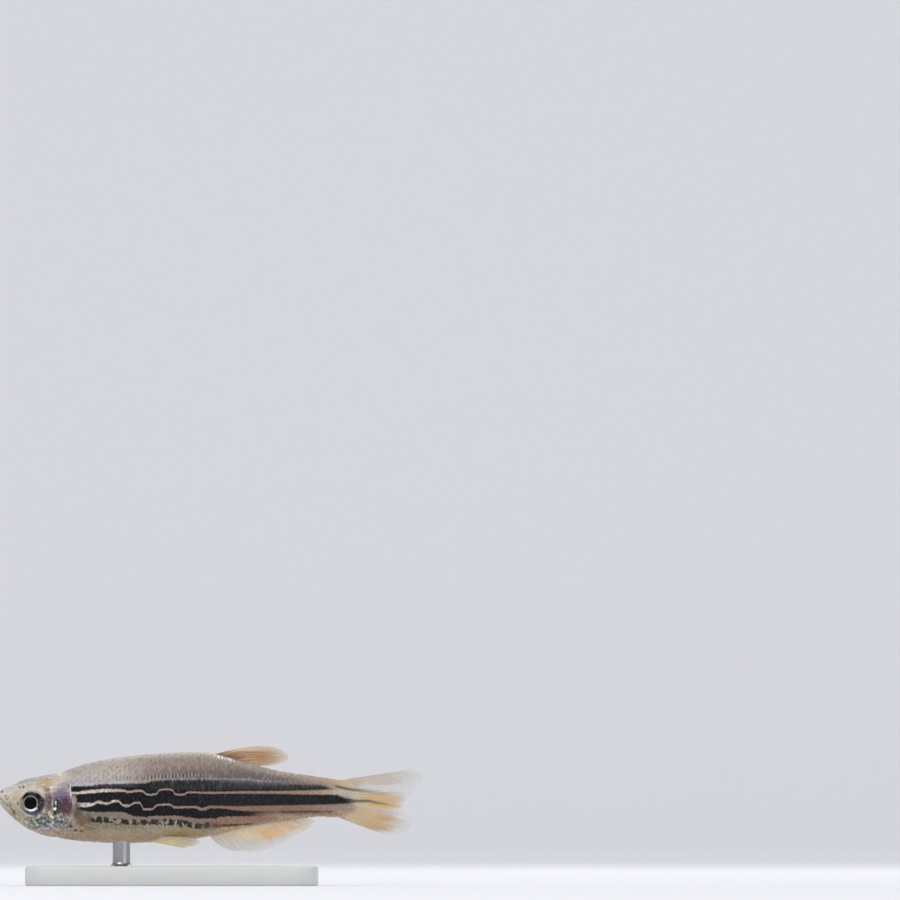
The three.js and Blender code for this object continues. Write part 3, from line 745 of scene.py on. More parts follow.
def head_colour(sh, at, colour):
    """The head over the flank's colour: its own tone, marks, mottling, painted glints and the eye's rim."""
    s, z, speck = at.s, at.z, at.speck
    here = (s, at.y, z)
    head = (s + z * 0.35).step(7.6, 6.4)
    grain, mottle, moss = (sh.noise(here, scale) for scale in (9.0, 3.1, 2.6))
    torn = speck.sway(1.5) + grain.sway(1.3)
    face = sh.paint(
        (172, 162, 144),
        ((192, 183, 171), 1.0, (z, -0.8, 1.2)),
        ((120, 122, 108), 0.75, (at.from_top, 0.45, 0.05)),
    )
    colour = with_marks(sh, s, z, sh.mix(head, colour, face), MARKS, torn)
    cheek = oval(s, z, (5.2, -2.35, 2.6, 1.15), torn) * head * 0.8
    bare = head * (1 - oval(s, z, (6.6, -0.6, 1.8, 1.8), 0.0) * 0.7)
    bar = (s - (6.15 + z * 0.08) + speck.sway(0.5)).hill(0.3)
    colour = sh.paint(
        colour,
        ((164, 156, 100), head * 0.4, (moss, 0.5, 0.62), (z, 1.0, -0.6), (s, 4.6, 3.0)),
        ((30, 36, 36), cheek, (mottle, 0.51, 0.58)),
        ((206, 208, 204), cheek, (mottle, 0.46, 0.38)),
        ((92, 88, 78), bare * 0.16, (mottle, 0.52, 0.64)),
        ((226, 224, 214), bare * 0.22, (mottle, 0.48, 0.36)),
        ((36, 38, 38), bare * 0.26, (speck, 0.5, 0.68)),
        ((232, 230, 220), bare * 0.26, (speck, 0.5, 0.28)),
        ((246, 242, 232), bare * 0.26, (grain, 0.52, 0.7)),
        ((16, 18, 22), bar * 0.95, (z, 0.0, -0.3), (z, -2.0, -1.6), (grain, 0.3, 0.4)),
    )
    # Painted highlights: glints of light on the gill cover, laid over the head as spots
    colour = with_marks(sh, s, z, colour, PAINTED_GLINTS, torn)
    crown = head * (0.25 + z.step(0.4, 1.6) * 0.35)
    lid = (z - (0.92 - (s - 6.3) ** 2.0 * 0.06)).hill(0.05)
    edge = (s - (7.68 - z * 0.1)).hill(0.12, 0.8)
    from_eye = ((s - EYE[0]) ** 2.0 + (z - EYE[1]) ** 2.0) ** 0.5
    return sh.paint(
        colour,
        ((52, 46, 44), crown, (sh.cells(here, 6.0), 0.2, 0.1)),
        ((62, 50, 56), lid * 0.85, (s, 5.4, 6.0), (s, 7.35, 6.8), (speck, 0.3, 0.5)),
        ((238, 230, 226), edge * 0.92, (z, 0.0, 0.3), (z, 1.6, 1.2), (grain, 0.3, 0.55)),
        ((226, 222, 210), (from_eye - 1.35).hill(0.12, 0.8) * 0.85, (z, -0.2, 0.4), (speck, 0.38, 0.54)),
        ((112, 106, 96), 1.0, (from_eye, 1.31, 1.25)),
    )


def flank_colour(sh, s, y, z):
    """Back, belly, stripes and head marks as one colour, and the values at the point that it came from."""
    at = SimpleNamespace(
        s=s,
        y=y,
        z=z,
        hatch=sh.noise((s * 4.8, y * 1.2, z * 2.1), 1.0, 1.5),
        fine=sh.noise((s * 7.5, y * 1.2, z * 2.2), 1.0, 1.0),
        speck=sh.noise((s, y, z), 4.6, 3.0),
        cloud=sh.noise((s, y, z), 0.55),
        over=z - sh.curve(s, FLANK_TOP),
        under=sh.curve(s, FLANK_BOTTOM) - z,
        from_top=sh.curve(s, STATIONS[:, [0, 1]].tolist()) - z,
        from_bottom=z - sh.curve(s, STATIONS[:, [0, 2]].tolist()),
    )
    at.ragged = at.hatch.sway(0.24) + at.fine.sway(0.22)
    colour = back_and_belly(sh, at)
    colour = beside_stripes(sh, at, colour)
    colour = under_stripes(sh, at, colour)
    colour, at.dark = stripes(sh, at, colour)
    colour = ticks(sh, at, colour)
    return head_colour(sh, at, colour), at


def skin_material():
    sh = Shader("danio_skin")
    colour, at = flank_colour(sh, *sh.place())
    sh.set(Base_Color=colour, Roughness=0.38, Specular_IOR_Level=0.12, Coat_Weight=0.2, Coat_Roughness=0.12)
    sh.relief_from(at.speck + at.hatch * 0.3, 0.4)
    return sh.material


def scale_material():
    sh = Shader("danio_scales")
    colour, at = flank_colour(sh, *sh.place())
    rim = sh.attribute("rim") * (0.4 - at.dark * 0.28)
    colour = sh.paint(colour, ((104, 98, 98), rim, (at.speck, 0.25, 0.5), (at.s, 38.0, 31.0)))
    sh.set(Base_Color=colour, Roughness=0.38, Specular_IOR_Level=0.08, Coat_Weight=0.14, Coat_Roughness=0.12)
    sh.relief_from(at.hatch + at.speck * 0.4, 0.25)
    return sh.material


# Fin tones: s, z, reach along, reach up, colour, opacity. The first row is the plain fin.
CAUDAL_TONES = [
    (0, 0, 0, 0, (200, 200, 198), 0.3),
    (36.3, 1.75, 2.0, 0.9, (190, 172, 138), 0.9),
    (36.3, -1.3, 2.6, 1.2, (184, 162, 134), 0.92),
    (37.6, 0.3, 2.6, 0.9, (206, 182, 138), 0.92),
    (39.0, 2.05, 4.2, 1.1, (210, 194, 170), 0.7),
    (42.0, 2.7, 1.8, 0.8, (194, 196, 190), 0.5),
    (38.7, -1.6, 3.2, 1.0, (206, 180, 140), 0.9),
    (38.9, -2.7, 3.6, 1.3, (206, 168, 108), 0.92),
    (36.5, -1.85, 1.0, 0.5, (210, 176, 112), 0.9),
    (38.2, -0.8, 2.8, 0.7, (206, 184, 142), 0.92),
    (40.1, -0.2, 2.7, 1.0, (214, 156, 52), 1.0),
    (40.2, -0.85, 2.0, 0.5, (222, 186, 90), 0.97),
    (40.6, 1.0, 3.2, 0.5, (210, 210, 213), 0.3),
]
DORSAL_TONES = [
    (0, 0, 0, 0, (204, 176, 136), 0.6),
    (26.2, 4.3, 4.8, 1.2, (164, 116, 72), 0.88),
    (22.9, 4.1, 3.2, 0.7, (98, 60, 50), 0.9),
    (25.3, 5.05, 3.6, 0.34, (222, 200, 170), 0.78),
]
ANAL_TONES = [
    (0, 0, 0, 0, (208, 203, 194), 0.4),
    (26.0, -3.3, 6.0, 1.5, (242, 222, 180), 0.9),
    (28.2, -3.55, 2.6, 0.9, (230, 184, 124), 0.85),
    (30.3, -2.8, 3.0, 0.9, (222, 190, 152), 0.75),
]
PECTORAL_TONES = [
    (0, 0, 0, 0, (204, 194, 166), 0.06),
    (9.0, -3.0, 2.4, 1.0, (176, 160, 126), 0.2),
]
PELVIC_TONES = [
    (0, 0, 0, 0, (214, 202, 166), 0.3),
    (17.5, -4.6, 3.8, 1.1, (246, 230, 186), 0.75),
]


def fin_material(name, tones, ray_tone, ray_strength=0.2, body=False, front_ray=None):
    """Membrane between tinted rays, each tone with its own opacity. body carries the flank's marks to the
    root, and front_ray is the colour of a leading ray that shows."""
    sh = Shader(name)
    s, y, z = sh.place()
    rays, along, fan = (sh.attribute(key) for key in ("ray", "along", "fan"))
    streak = sh.noise((fan * 1.1, along * 2.2, 0.0))
    torn = streak.sway(0.8)
    colour, opaque = tones[0][4:]
    for *place, tone, opacity in tones[1:]:
        share = oval(s, z, place, torn, -0.3)
        colour = sh.mix(share, colour, tone)
        opaque = opaque + share * (opacity - opaque)
    colour = sh.paint(
        colour,
        (ray_tone, rays * 0.2),
        ((238, 230, 214), 0.16, (streak, 0.5, 0.68)),
        ((150, 128, 100), 0.16, (streak, 0.46, 0.3)),
    )
    if body:
        colour, drawn = tail_lines(sh, s, z, colour)
        root = (s + torn * 0.7 + abs(z + 0.1).step(1.1, 1.9) * 0.9).step(37.5, 36.2)
        colour = sh.mix(root, colour, flank_colour(sh, s, y, z)[0])
        opaque = opaque + drawn * 0.2 + root
    opaque = opaque + rays * along.step(1.1, 0.4) * ray_strength
    if front_ray:
        leading = fan.step(0.9, 0.2) * along.step(1.2, 0.8)
        colour = sh.mix(leading, colour, front_ray)
        opaque = opaque + leading * 0.7
    opaque = opaque * along.step(1.3, 0.5)
    sh.set(Base_Color=colour, Roughness=0.42, Alpha=sh.math("MINIMUM", opaque, 1.0))
    return sh.material


def eye_material():
    """Black pupil, silver ring and dark iris, by the distance from the middle of the pupil."""
    sh = Shader("danio_eye")
    here = sh.place()
    reach, back, up = (sh.attribute(key) for key in ("reach", "back", "up"))
    mottle = sh.noise(here, 4.5, 3.0)
    grain = sh.noise(here, 12.0)
    iris = sh.paint(
        (72, 77, 88),
        ((52, 48, 48), 1.0, (up, -0.9, -0.1)),
        ((32, 22, 34), 0.85, (back, 0.2, 0.8)),
        ((146, 140, 116), 0.85, (back, -0.5, -0.95), (up, 0.6, 0.2)),
        ((146, 152, 158), 0.34, (mottle, 0.5, 0.7)),
        ((16, 18, 26), 0.6, (mottle, 0.48, 0.32)),
        ((200, 204, 208), 0.25, (grain, 0.56, 0.72)),
        ((5, 7, 11), 0.95, (up + mottle.sway(0.5), 0.3, 0.6), (reach, 0.7, 0.82)),
    )
    low_half = up.step(-0.4, -0.66)
    bright = (0.45 + low_half * 0.55) * (0.5 + mottle.step(0.3, 0.5) * 0.5)
    band = 0.72 + up.step(-0.1, -0.7) * 0.14
    ring_tone = sh.mix(low_half, (200, 208, 216), (250, 252, 254))
    edge_tone = sh.paint(
        (86, 76, 84),
        ((152, 144, 120), 1.0, (back, 0.3, -0.3)),
        ((176, 172, 158), 1.0, (up, 0.3, 0.8)),
        ((98, 102, 108), 1.0, (up, -0.6, -1.0)),
    )
    colour = sh.paint(
        iris,
        (ring_tone, bright, (reach, 0.63, 0.68), (reach, band + 0.07, band - 0.03)),
        ((1, 2, 3), 1.0, (reach, 0.68, 0.64)),
        (edge_tone, 0.92, (reach + mottle.sway(0.3), 1.08, 1.2)),
    )
    sh.set(Base_Color=colour, Roughness=0.2, Specular_IOR_Level=0.04, Coat_Weight=0.12, Coat_Roughness=0.03)
    return sh.material


def plain_material(name, colour, roughness, metallic=0.0, grain=(3, 3, 3), strength=0.1):
    """A made material with a fine grain, stretched as grain says."""
    sh = Shader(name)
    texture = sh.noise([axis * size for axis, size in zip(sh.place(), grain)], 1.0, 4.0)
    low, high = (tuple(c + d for c in colour) for d in (-7, 7))
    rough = texture * 0.12 + (roughness - 0.06)
    sh.set(Base_Color=sh.mix(texture, low, high), Roughness=rough, Metallic=metallic)
    sh.relief_from(texture, strength, 0.00002)
    return sh.material


# Skin


def build_skin():
    """The whole body as one closed mesh of rings, with the forms of the head raised in it."""
    nose = NOSE_LENGTH * (1 - np.cos(np.linspace(0.08, math.pi / 2, 18)))
    head = np.arange(NOSE_LENGTH + HEAD_RING_STEP, HEAD_RINGS_END, HEAD_RING_STEP)
    trunk = np.arange(HEAD_RINGS_END, STANDARD_LENGTH, TRUNK_RING_STEP)
    stalk_end = STANDARD_LENGTH + (SKIN_END - STANDARD_LENGTH) * np.sin(np.linspace(0, math.pi / 2, 12))
    rings = np.concatenate([nose, head, trunk, stalk_end])
    turns = full_turn(SKIN_SIDES)
    points = body_point(rings[:, None], turns[None, :])
    around = np.roll(points, -1, 1) - np.roll(points, 1, 1)
    normal = np.cross(around, np.gradient(points, axis=0))
    normal /= np.linalg.norm(normal, axis=2, keepdims=True) + 1e-12
    points = points + normal * relief(points[..., 0], points[..., 2])[..., None]
    tip, end = points[0].mean(0) - (0.002, 0, 0), points[-1].mean(0) + (0.01, 0, 0)
    flat = np.vstack([points.reshape(-1, 3), tip, end])
    index = np.arange(len(rings) * SKIN_SIDES).reshape(len(rings), SKIN_SIDES)
    beside = np.roll(index, -1, 1)
    quads = np.stack([index[:-1], beside[:-1], beside[1:], index[1:]], -1).reshape(-1, 4)
    caps = [(b, a, index.size) for a, b in zip(index[0], beside[0])]
    caps += [(a, b, index.size + 1) for a, b in zip(index[-1], beside[-1])]
    # the map: length along and turn round, with the seam under the belly
    corners = np.concatenate([quads.ravel(), np.ravel(caps)])
    turned = (np.append(np.tile(turns, len(rings)), [0, 0]) + math.pi / 2) % (2 * math.pi) / (2 * math.pi)
    turned = turned[corners]
    for part in (turned[:quads.size].reshape(-1, 4), turned[quads.size:].reshape(-1, 3)):
        over_seam = np.ptp(part, axis=1) > 0.5
        part += over_seam[:, None] * (part < 0.5)
    uv = np.stack([0.02 + 0.96 * flat[corners, 0] / SKIN_UNWRAP_MM, 0.96 * turned], -1)
    skin = make_piece("skin", flat, quads.tolist() + caps, "trunk_skin", skin_material(), uv)
    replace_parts(skin, "head", "trunk", "tail", "gill_cover_left", "gill_cover_right")


# Scales


def flank_table():
    """For places along the body, the length of skin from the widest level to the back and to the belly,
    and the turn at even shares of that length."""
    stations = np.linspace(5.5, SKIN_END, 160)
    quarter = np.linspace(0, math.pi / 2, 65)
    shares = np.linspace(0, 1, 49)
    tables = []
    for sign in (1, -1):
        points = body_point(stations[:, None], sign * quarter[None, :])
        steps = np.linalg.norm(np.diff(points[..., 1:], axis=1), axis=2)
        lengths = np.hstack([np.zeros((len(stations), 1)), np.cumsum(steps, 1)])
        turn = [np.interp(shares * row[-1], row, quarter) for row in lengths]
        tables.append((lengths[:, -1], np.array(turn)))
    return stations, tables


STATION_ROWS, FLANK = flank_table()


def flank_reach(s, upper):
    return np.interp(s, STATION_ROWS, FLANK[0 if upper else 1][0])


def flank_point(s, v, lift, side):
    """The point of a flank at s, and v along the skin up from the widest level. side is -1 on the left."""
    row = np.clip((s - STATION_ROWS[0]) / (STATION_ROWS[1] - STATION_ROWS[0]), 0, len(STATION_ROWS) - 1.001)
    i = row.astype(int)
    f = row - i
    share = np.where(v >= 0, v / flank_reach(s, True), -v / flank_reach(s, False))
    over = share > 1
    column = np.clip(np.where(over, 2 - share, share), 0, 0.9999) * (FLANK[0][1].shape[1] - 1)
    j = column.astype(int)
    g = column - j
    turns = []
    for reach, turn in FLANK:
        low = turn[i, j] * (1 - g) + turn[i, j + 1] * g
        high = turn[i + 1, j] * (1 - g) + turn[i + 1, j + 1] * g
        turns.append(low * (1 - f) + high * f)
    point = body_point(s, np.where(v >= 0, turns[0], -turns[1]))
    point[..., 1] *= np.where(over, -side, side)
    return point + outward(s, point[..., 1], point[..., 2]) * lift[..., None]


def scale_size(s):
    """Scales shrink towards the tail."""
    return 1 - 0.3 * blend_step(18.0, 34.0, s)


def scale_columns():
    """Places of the columns of scales, half a pitch apart, with every other column set half a row up."""
    columns = [6.0]
    while columns[-1] < SKIN_END - 0.9:
        columns.append(columns[-1] + 0.5 * SCALE_PITCH * scale_size(columns[-1]))
    return columns


def scale_outline(a):
    """Half width of a scale at a share of its length from its root."""
    rounded = np.sqrt(np.maximum(0, 1 - (np.maximum(0, a - 0.42) / 0.58) ** 2))
    return rounded * (1 - 0.2 * (np.maximum(0, 0.42 - a) / 0.42) ** 2)


def rim_of_top_scale(s, v, columns):
    """How near the rim of the scale that shows at a place is, from 0 inside it to 1 at its rim."""
    value = np.zeros(np.shape(s))
    taken = np.zeros(np.shape(s), bool)
    for k, at in enumerate(columns):
        size = scale_size(at)
        a = (s - at) / (SCALE_LENGTH * size)
        row = v / (ROW_PITCH * size) - 0.5 * (k % 2)
        b = np.abs(row - np.round(row)) * 2 * ROW_PITCH / SCALE_WIDTH
        width = scale_outline(np.clip(a, 0, 1))
        inside = (a > 0) & (a < 1) & (b < width) & ~taken
        near = np.maximum(b / np.maximum(width, 1e-6), a)
        value = np.where(inside, blend_step(0.8, 0.97, near), value)
        taken |= inside
    return value


def build_scales(side):
    """All scales of one flank as one joined mesh. Each is a thin closed plate, rooted in the skin."""
    columns = scale_columns()
    na, nb = SCALE_CELLS
    a, b = np.meshgrid(np.linspace(0, 1, na + 1), np.linspace(-1, 1, nb + 1), indexing="ij")
    plate, under = sheet_faces(a.shape)
    places, spots = [], []
    for k, at in enumerate(columns):
        size = scale_size(at)
        up, down = float(flank_reach(at + 0.5, True)), float(flank_reach(at + 0.5, False))
        pitch = ROW_PITCH * size
        shift = 0.5 * (k % 2)
        for r in range(math.ceil(-down / pitch - shift), math.floor(up / pitch - shift) + 1):
            v0 = (r + shift) * pitch
            tip = flank_point(np.array(at + 1.2 * size), np.array(v0), np.array(0.0), side)
            if behind_head(tip[0], tip[2]) < 0.3 or tip[0] + 0.25 * tip[2] ** 2 > SKIN_END - 0.3:
                continue
            length, width = (1 + 0.04 * dice.standard_normal(2)) * (SCALE_LENGTH * size, SCALE_WIDTH * size)
            s = at + a * length
            v = v0 + b * scale_outline(a) * width / 2
            hidden = blend_step(0.3, 0.0, behind_head(s, flank_point(s, v, 0 * s, side)[..., 2]))
            lift = -1.35 * COAT_DEPTH + 0.125 * a**0.8 - 0.07 * hidden + 0.002 * dice.standard_normal()
            rim = np.maximum(np.abs(b), np.maximum(0, a - 0.3) / 0.7)
            thick = 0.008 + 0.016 * (1 - rim**4)
            both = [flank_point(s, v, height, side) for height in (lift + thick, lift)]
            places.append(np.reshape(both, (-1, 3)))
            spots.append(np.tile([s.ravel(), v.ravel()], 2))
    faces = np.concatenate([plate[:, ::-side] + k * 2 * a.size for k in range(len(places))])
    s, v = np.concatenate(spots, 1)
    maps = np.stack([0.02 + (s - 5.0) / UNWRAP_MM, 0.25 + v / UNWRAP_MM], -1)
    # each point has its place on the flank, and the undersides have a stretch of their own
    uv = maps[faces.ravel()] + np.tile(under, (len(places), 1)) * (0, 0.5)
    name = "scales_left" if side < 0 else "scales_right"
    rims = rim_of_top_scale(s, v, columns)
    make_piece(name, np.concatenate(places), faces, "trunk_skin", SCALE_MATERIAL, uv, rim=rims)


# Fins


def build_fin(name, root, tip, rays, normal, material, bow=(0, 0, 0), rows=44, root_thick=0.16):
    """A fin from its root line to its tip line, with branching rays raised on both faces."""
    columns = (rays - 1) * RAY_CELLS + 1
    u, v = np.meshgrid(np.linspace(0, 1, rows + 1), np.linspace(0, 1, columns), indexing="ij")
    near, far = smooth_line(root, columns), smooth_line(tip, columns)
    ray = v * (rays - 1)
    off = np.abs(ray - np.round(ray))
    # each ray forks twice on its way to the edge, but for the leading one
    forking = np.round(ray) > 0
    first, second = 0.25 * blend_step(0.25, 0.65, u) * forking, 0.11 * blend_step(0.6, 0.95, u) * forking
    split = np.abs(np.abs(off - first) - second)
    lines = np.exp(-((split / (0.13 - 0.06 * u)) ** 2))
    lines = np.maximum(lines, np.exp(-((ray / 0.4) ** 2))) * blend_step(0.0, 0.25, u)
    joints = 1 - 0.12 * (np.sin(u * 150) > 0.6) * (u > 0.25)
    half = 0.014 + root_thick / 2 * (1 - u) ** 3 + lines * joints * 0.045 * (1 - 0.75 * u)
    half = half * (1 - 0.5 * u**6)
    # the membrane draws back a little between the rays at the fin's edge
    reach = u * (1 - 0.03 * (1 - lines) * blend_step(0.6, 1.0, u))
    middle = near[None] * (1 - reach[..., None]) + far[None] * reach[..., None]
    arch = 4 * reach * (1 - reach)
    middle = middle + np.array(bow) * (arch * (1 - v))[..., None]
    out = np.array(normal, float) / np.linalg.norm(normal)
    wave = 0.03 * np.sin(v * 17 + u * 3) * u
    both = [middle + out * lift[..., None] for lift in (wave + half, wave - half)]
    points = np.reshape(both, (-1, 3))
    faces, far_side = sheet_faces(u.shape)
    a, b, c = points[faces[0, :3]]
    if np.cross(b - a, c - b) @ out < 0:
        faces = faces[:, ::-1]
    # the map: across and along the fin, with its far side beside the near one
    maps = np.tile(np.stack([0.02 + 0.46 * v.ravel(), 0.02 + 0.96 * u.ravel()], -1), (2, 1))
    uv = maps[faces.ravel()] + far_side * (0.5, 0)
    values = {"ray": lines, "along": u, "fan": ray}
    values = {key: np.tile(numbers.ravel(), 2) for key, numbers in values.items()}
    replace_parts(make_piece(name, points, faces, "fin", material, uv, **values), name)


def on_side(points, side):
    """Points of the left side, or their mirror images on the right."""
    return [(s, -side * y, z) for s, y, z in points]


# Eyes and barbels


def lathe(profile, segments):
    """Points and faces of a shape turned about z. The profile starts and ends on the axis."""
    body = [(r * math.cos(t), r * math.sin(t), h) for r, h in profile[1:-1] for t in full_turn(segments)]
    points = [(0, 0, profile[0][1])] + body + [(0, 0, profile[-1][1])]
    last = len(points) - 1
    faces = []
    for j in range(segments):
        k = (j + 1) % segments
        faces.append((0, 1 + k, 1 + j))
        for i in range(len(profile) - 3):
            a, b = 1 + i * segments, 1 + (i + 1) * segments
            faces.append((a + j, a + k, b + k, b + j))
        faces.append((last, last - segments + j, last - segments + k))
    return np.array(points), faces


def build_eye(name, side):
    """An eyeball whose rim follows the head's surface, with a low dome and the lens standing in its pupil."""
    reaches = np.linspace(EYE_RADIUS, 0.0, 60)
    dome = 0.26 * (1 - (reaches / EYE_RADIUS) ** 2) ** 0.7 - 0.03
    dome = dome - 0.03 * bump(reaches - 0.67, 0.05) + 0.04 * blend_step(0.6, 0.2, reaches)
    profile = [(0, -0.8), (0.8, -0.7), (1.12, -0.42), (1.25, -0.2)] + list(zip(reaches, dome))
    points, faces = lathe(profile, 96)
    across, up, height = points.T
    reach = np.hypot(across, up)
    pull = (height > -0.1) * (1 - np.minimum(1, reach / EYE_RADIUS) ** 2)
    s = EYE[0] + across + PUPIL_SHIFT[0] * pull
    z = EYE[1] + up + PUPIL_SHIFT[1] * pull
    base = np.stack([s, side * half_width(s, z), z], -1)
    step = 0.4
    lean_s = (half_width(EYE[0] + step, EYE[1]) - half_width(EYE[0] - step, EYE[1])) / (2 * step)
    lean_z = (half_width(EYE[0], EYE[1] + step) - half_width(EYE[0], EYE[1] - step)) / (2 * step)
    out = np.array([-lean_s, side, -lean_z]) / math.hypot(lean_s, 1, lean_z)
    faces = [face[::-side] for face in faces]
    hidden = height < -0.1
    seen = np.where(hidden, 1.3, reach)
    flat = 0.5 + points[:, :2] / 3 + hidden[:, None] * 0.45
    uv = flat[[corner for face in faces for corner in face]]
    placed = base + out * height[:, None]
    eye = make_piece(name, placed, faces, "eye", EYE_MATERIAL, uv, reach=seen, back=across, up=up)
    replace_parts(eye, name)


def build_barbels():
    """Two pairs of tapered feelers, at the snout and at the corners of the mouth."""
    points, faces = [], []
    for side in (-1, 1):
        for thick, line in BARBELS:
            path = []
            for s, z, lift in line:
                y = side * float(half_width(s, z))
                path.append(np.array((s, y, z)) + outward(np.array(s), np.array(y), np.array(z)) * lift)
            path = smooth_line(path, 24)
            rings = []
            for i, middle in enumerate(path):
                ahead = path[min(i + 1, len(path) - 1)] - path[max(i - 1, 0)]
                ahead /= np.linalg.norm(ahead)
                first = np.cross(ahead, (0, 1, 0.2))
                first /= np.linalg.norm(first)
                second = np.cross(ahead, first)
                radius = thick / 2 * (1 - i / (len(path) - 1)) ** 0.8 + 0.01
                spokes = [math.cos(t) * first + math.sin(t) * second for t in full_turn(12)]
                rings.append([middle + radius * spoke for spoke in spokes])
            more_points, more_faces = stack(rings)
            faces += [tuple(corner + len(points) for corner in face) for face in more_faces]
            points += more_points
    make_piece("barbels", points, faces, "head_skin", BARBEL_MATERIAL)


# Stand


def rounded_outline(length, width, corner, inset):
    """A rectangle with rounded corners, drawn in by inset."""
    outline = []
    radius = corner - inset
    for k, (sx, sy) in enumerate(((1, 1), (-1, 1), (-1, -1), (1, -1))):
        middle_x, middle_y = sx * (length / 2 - corner), sy * (width / 2 - corner)
        for t in math.pi / 2 * (k + np.linspace(0, 1, 13)):
            outline.append((middle_x + radius * math.cos(t), middle_y + radius * math.sin(t)))
    return outline


def build_stand():
    """A flat plate with softened edges, and a rod with a small foot up to the belly."""
    length, width, thickness = BASE_SIZE
    top = thickness - AXIS_HEIGHT
    edge = [(-AXIS_HEIGHT, 0.15), (0.15 - AXIS_HEIGHT, 0.0)]
    for t in np.linspace(0, math.pi / 2, 7):
        edge.append((top - BASE_BEVEL * (1 - math.sin(t)), BASE_BEVEL * (1 - math.cos(t))))
    middle = BASE_CENTRE_X - SNOUT_X
    rings = []
    for height, inset in edge:
        rings.append([(middle + x, y, height) for x, y in rounded_outline(length, width, BASE_CORNER, inset)])
    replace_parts(make_piece("stand_plate", *stack(rings), "stand_plate", PLATE_MATERIAL), "stand_base")
    rod_s = ROD_X - SNOUT_X
    profile = [(ROD_RADIUS + ROD_FOOT, top - 0.1)]
    for t in np.linspace(0, math.pi / 2, 9):
        profile.append((ROD_RADIUS + ROD_FOOT * (1 - math.sin(t)), top + ROD_FOOT * (1 - math.cos(t))))
    profile.append((ROD_RADIUS, float(section(np.array(rod_s))[1]) + 0.25))
    rings = []
    for radius, height in profile:
        rings.append([(rod_s + radius * math.cos(t), radius * math.sin(t), height) for t in full_turn(64)])
    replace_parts(make_piece("stand_rod_round", *stack(rings), "stand_steel", STEEL_MATERIAL), "stand_rod")


# Everything together

SCALE_MATERIAL = scale_material()
EYE_MATERIAL = eye_material()
BARBEL_MATERIAL = plain_material("danio_barbel", (150, 138, 116), 0.4, strength=0.3)
PLATE_MATERIAL = plain_material("stand_plate", (214, 214, 212), 0.45, grain=(14, 14, 14), strength=0.15)
STEEL_MATERIAL = plain_material("stand_steel", (168, 170, 172), 0.3, 1.0, grain=(40, 40, 1.5), strength=0.2)
PECTORAL_MATERIAL = fin_material(
    "danio_pectoral_fin", PECTORAL_TONES, (206, 196, 164), 0.1, front_ray=(208, 200, 172),
)
PELVIC_MATERIAL = fin_material("danio_pelvic_fin", PELVIC_TONES, (222, 210, 172))

build_skin()
for side in (-1, 1):
    build_scales(side)
for name, side in (("eye_left", -1), ("eye_right", 1)):
    build_eye(name, side)
build_barbels()
build_fin(
    "dorsal_fin",
    [(21.6, 0, 4.2), (23.7, 0, 3.95), (25.7, 0, 3.3)],
    [(28.6, 0, 5.27), (29.6, 0, 4.8), (30.05, 0, 4.2), (29.6, 0, 3.65), (28.3, 0, 3.3)],
    9, (0, 1, 0), fin_material("danio_dorsal_fin", DORSAL_TONES, (234, 208, 166)), bow=(0, 0, 0.42),
)
build_fin(
    "anal_fin",
    [(21.7, 0, -3.7), (26.7, 0, -2.6), (31.5, 0, -1.9)],
    [(24.8, 0, -5.5), (26.5, 0, -5.58), (28.1, 0, -5.2), (30.1, 0, -4.3), (31.9, 0, -3.25), (32.9, 0, -2.4)],
    15, (0, 1, 0), fin_material("danio_anal_fin", ANAL_TONES, (196, 178, 144)), bow=(-0.2, 0, -0.35),
)
build_fin(
    "caudal_fin",
    [(34.7, 0, 1.72), (35.0, 0, 0), (34.7, 0, -1.85)],
    [
        (42.6, 0, 2.98), (43.9, 0, 2.55), (43.8, 0, 1.7), (42.9, 0, 0.6), (41.9, 0, -0.5),
        (41.9, 0, -1.4), (42.9, 0, -2.3), (42.3, 0, -3.4), (40.2, 0, -3.93),
    ],
    19, (0, 1, 0), fin_material("danio_caudal_fin", CAUDAL_TONES, (166, 142, 104), body=True), rows=60,
    root_thick=0.34,
)
PELVIC_ROOT = [(15.3, -0.55, -4.35), (16.1, -0.85, -4.2), (16.8, -1.15, -4.0)]
PELVIC_TIP = [(19.3, -1.05, -5.15), (20.4, -1.35, -4.9), (20.9, -1.75, -4.45), (20.3, -2.05, -4.0)]
PECTORAL_ROOT = [(8.75, -1.95, -2.6), (8.75, -1.8, -3.0), (8.65, -1.55, -3.45)]
PECTORAL_TIP = [(15.9, -3.1, -4.0), (16.5, -3.05, -4.3), (15.0, -2.8, -4.65), (12.6, -2.4, -4.7)]
for name, side in (("left", -1), ("right", 1)):
    build_fin(
        f"pelvic_fin_{name}", on_side(PELVIC_ROOT, side), on_side(PELVIC_TIP, side), 7,
        (0, 0.82, 0.57 * side), PELVIC_MATERIAL,
    )
    build_fin(
        f"pectoral_fin_{name}", on_side(PECTORAL_ROOT, side), on_side(PECTORAL_TIP, side), 10,
        (-0.18 * side, 0.95, 0.26 * side), PECTORAL_MATERIAL, bow=(0, 0.15 * side, -0.12),
    )
build_stand()

# Stage, light and camera

FLOOR_REACH = 2.5
FLOOR_DEPTH = 1.15
FLOOR_BEND = 0.25
FLOOR_COLOUR = (236, 236, 239)
CAMERA_DISTANCE = 2.0
FRAME_WIDTH = 0.09252
CAMERA_AIM = (0.02457, 0, 0.04477)
CAMERA_HEIGHT = 0.0105
SENSOR_WIDTH = 36


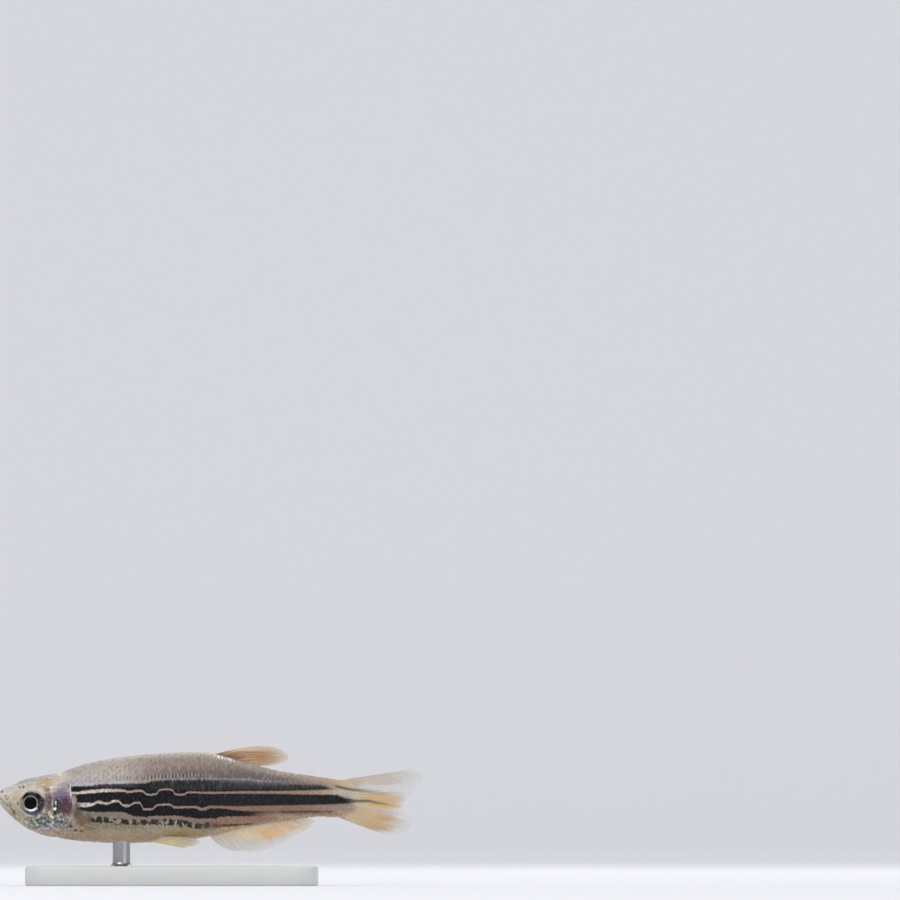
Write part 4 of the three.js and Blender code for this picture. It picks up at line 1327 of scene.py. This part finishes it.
def build_stage():
    """A pale floor that curves up into the backdrop."""
    line = [(-FLOOR_REACH, 0.0), (FLOOR_DEPTH, 0.0)]
    for t in np.linspace(0, math.pi / 2, 17)[1:]:
        line.append((FLOOR_DEPTH + FLOOR_BEND * math.sin(t), FLOOR_BEND * (1 - math.cos(t))))
    line.append((FLOOR_DEPTH + FLOOR_BEND, 3.0))
    points = [(x, y, z) for y, z in line for x in (-3.0, 3.0)]
    faces = [(2 * i, 2 * i + 1, 2 * i + 3, 2 * i + 2) for i in range(len(line) - 1)]
    sh = Shader("floor")
    sh.set(Base_Color=FLOOR_COLOUR, Roughness=0.9)
    make_object("floor", points, faces, sh.material)


def stand_at(thing, place, target):
    """Puts a light or the camera at a place, facing a target."""
    thing.location = place
    thing.rotation_euler = (Vector(target) - Vector(place)).to_track_quat("-Z", "Y").to_euler()
    bpy.context.scene.collection.objects.link(thing)


def area_light(name, place, size, power, colour=(1, 1, 1), target=(0, 0, 0.01)):
    light = bpy.data.lights.new(name, "AREA")
    light.size = size
    light.energy = power
    light.color = colour
    stand_at(bpy.data.objects.new(name, light), place, target)


build_stage()
area_light("key", (-0.2, -0.35, 0.42), 0.3, 1.15)
area_light("fill", (0.4, -0.4, 0.2), 0.4, 0.45, (0.97, 0.98, 1.0))
area_light("back", (0.05, 0.3, 0.35), 0.3, 0.6)
area_light("wall", (0, 0.7, 0.9), 0.6, 2.1, target=(0, 1.4, 0.1))
world = bpy.data.worlds.new("studio")
world.use_nodes = True
sky = world.node_tree.nodes["Background"].inputs
sky["Color"].default_value = (0.96, 0.97, 1.0, 1)
sky["Strength"].default_value = 0.6
scene = bpy.context.scene
scene.world = world
scene.view_settings.view_transform = "Standard"

camera = bpy.data.cameras.new("camera")
camera.sensor_width = SENSOR_WIDTH
camera.lens = SENSOR_WIDTH * CAMERA_DISTANCE / FRAME_WIDTH
camera.clip_end = 20
eye_point = bpy.data.objects.new("camera", camera)
stand_at(eye_point, (CAMERA_AIM[0], -CAMERA_DISTANCE, CAMERA_HEIGHT), CAMERA_AIM)
scene.camera = eye_point
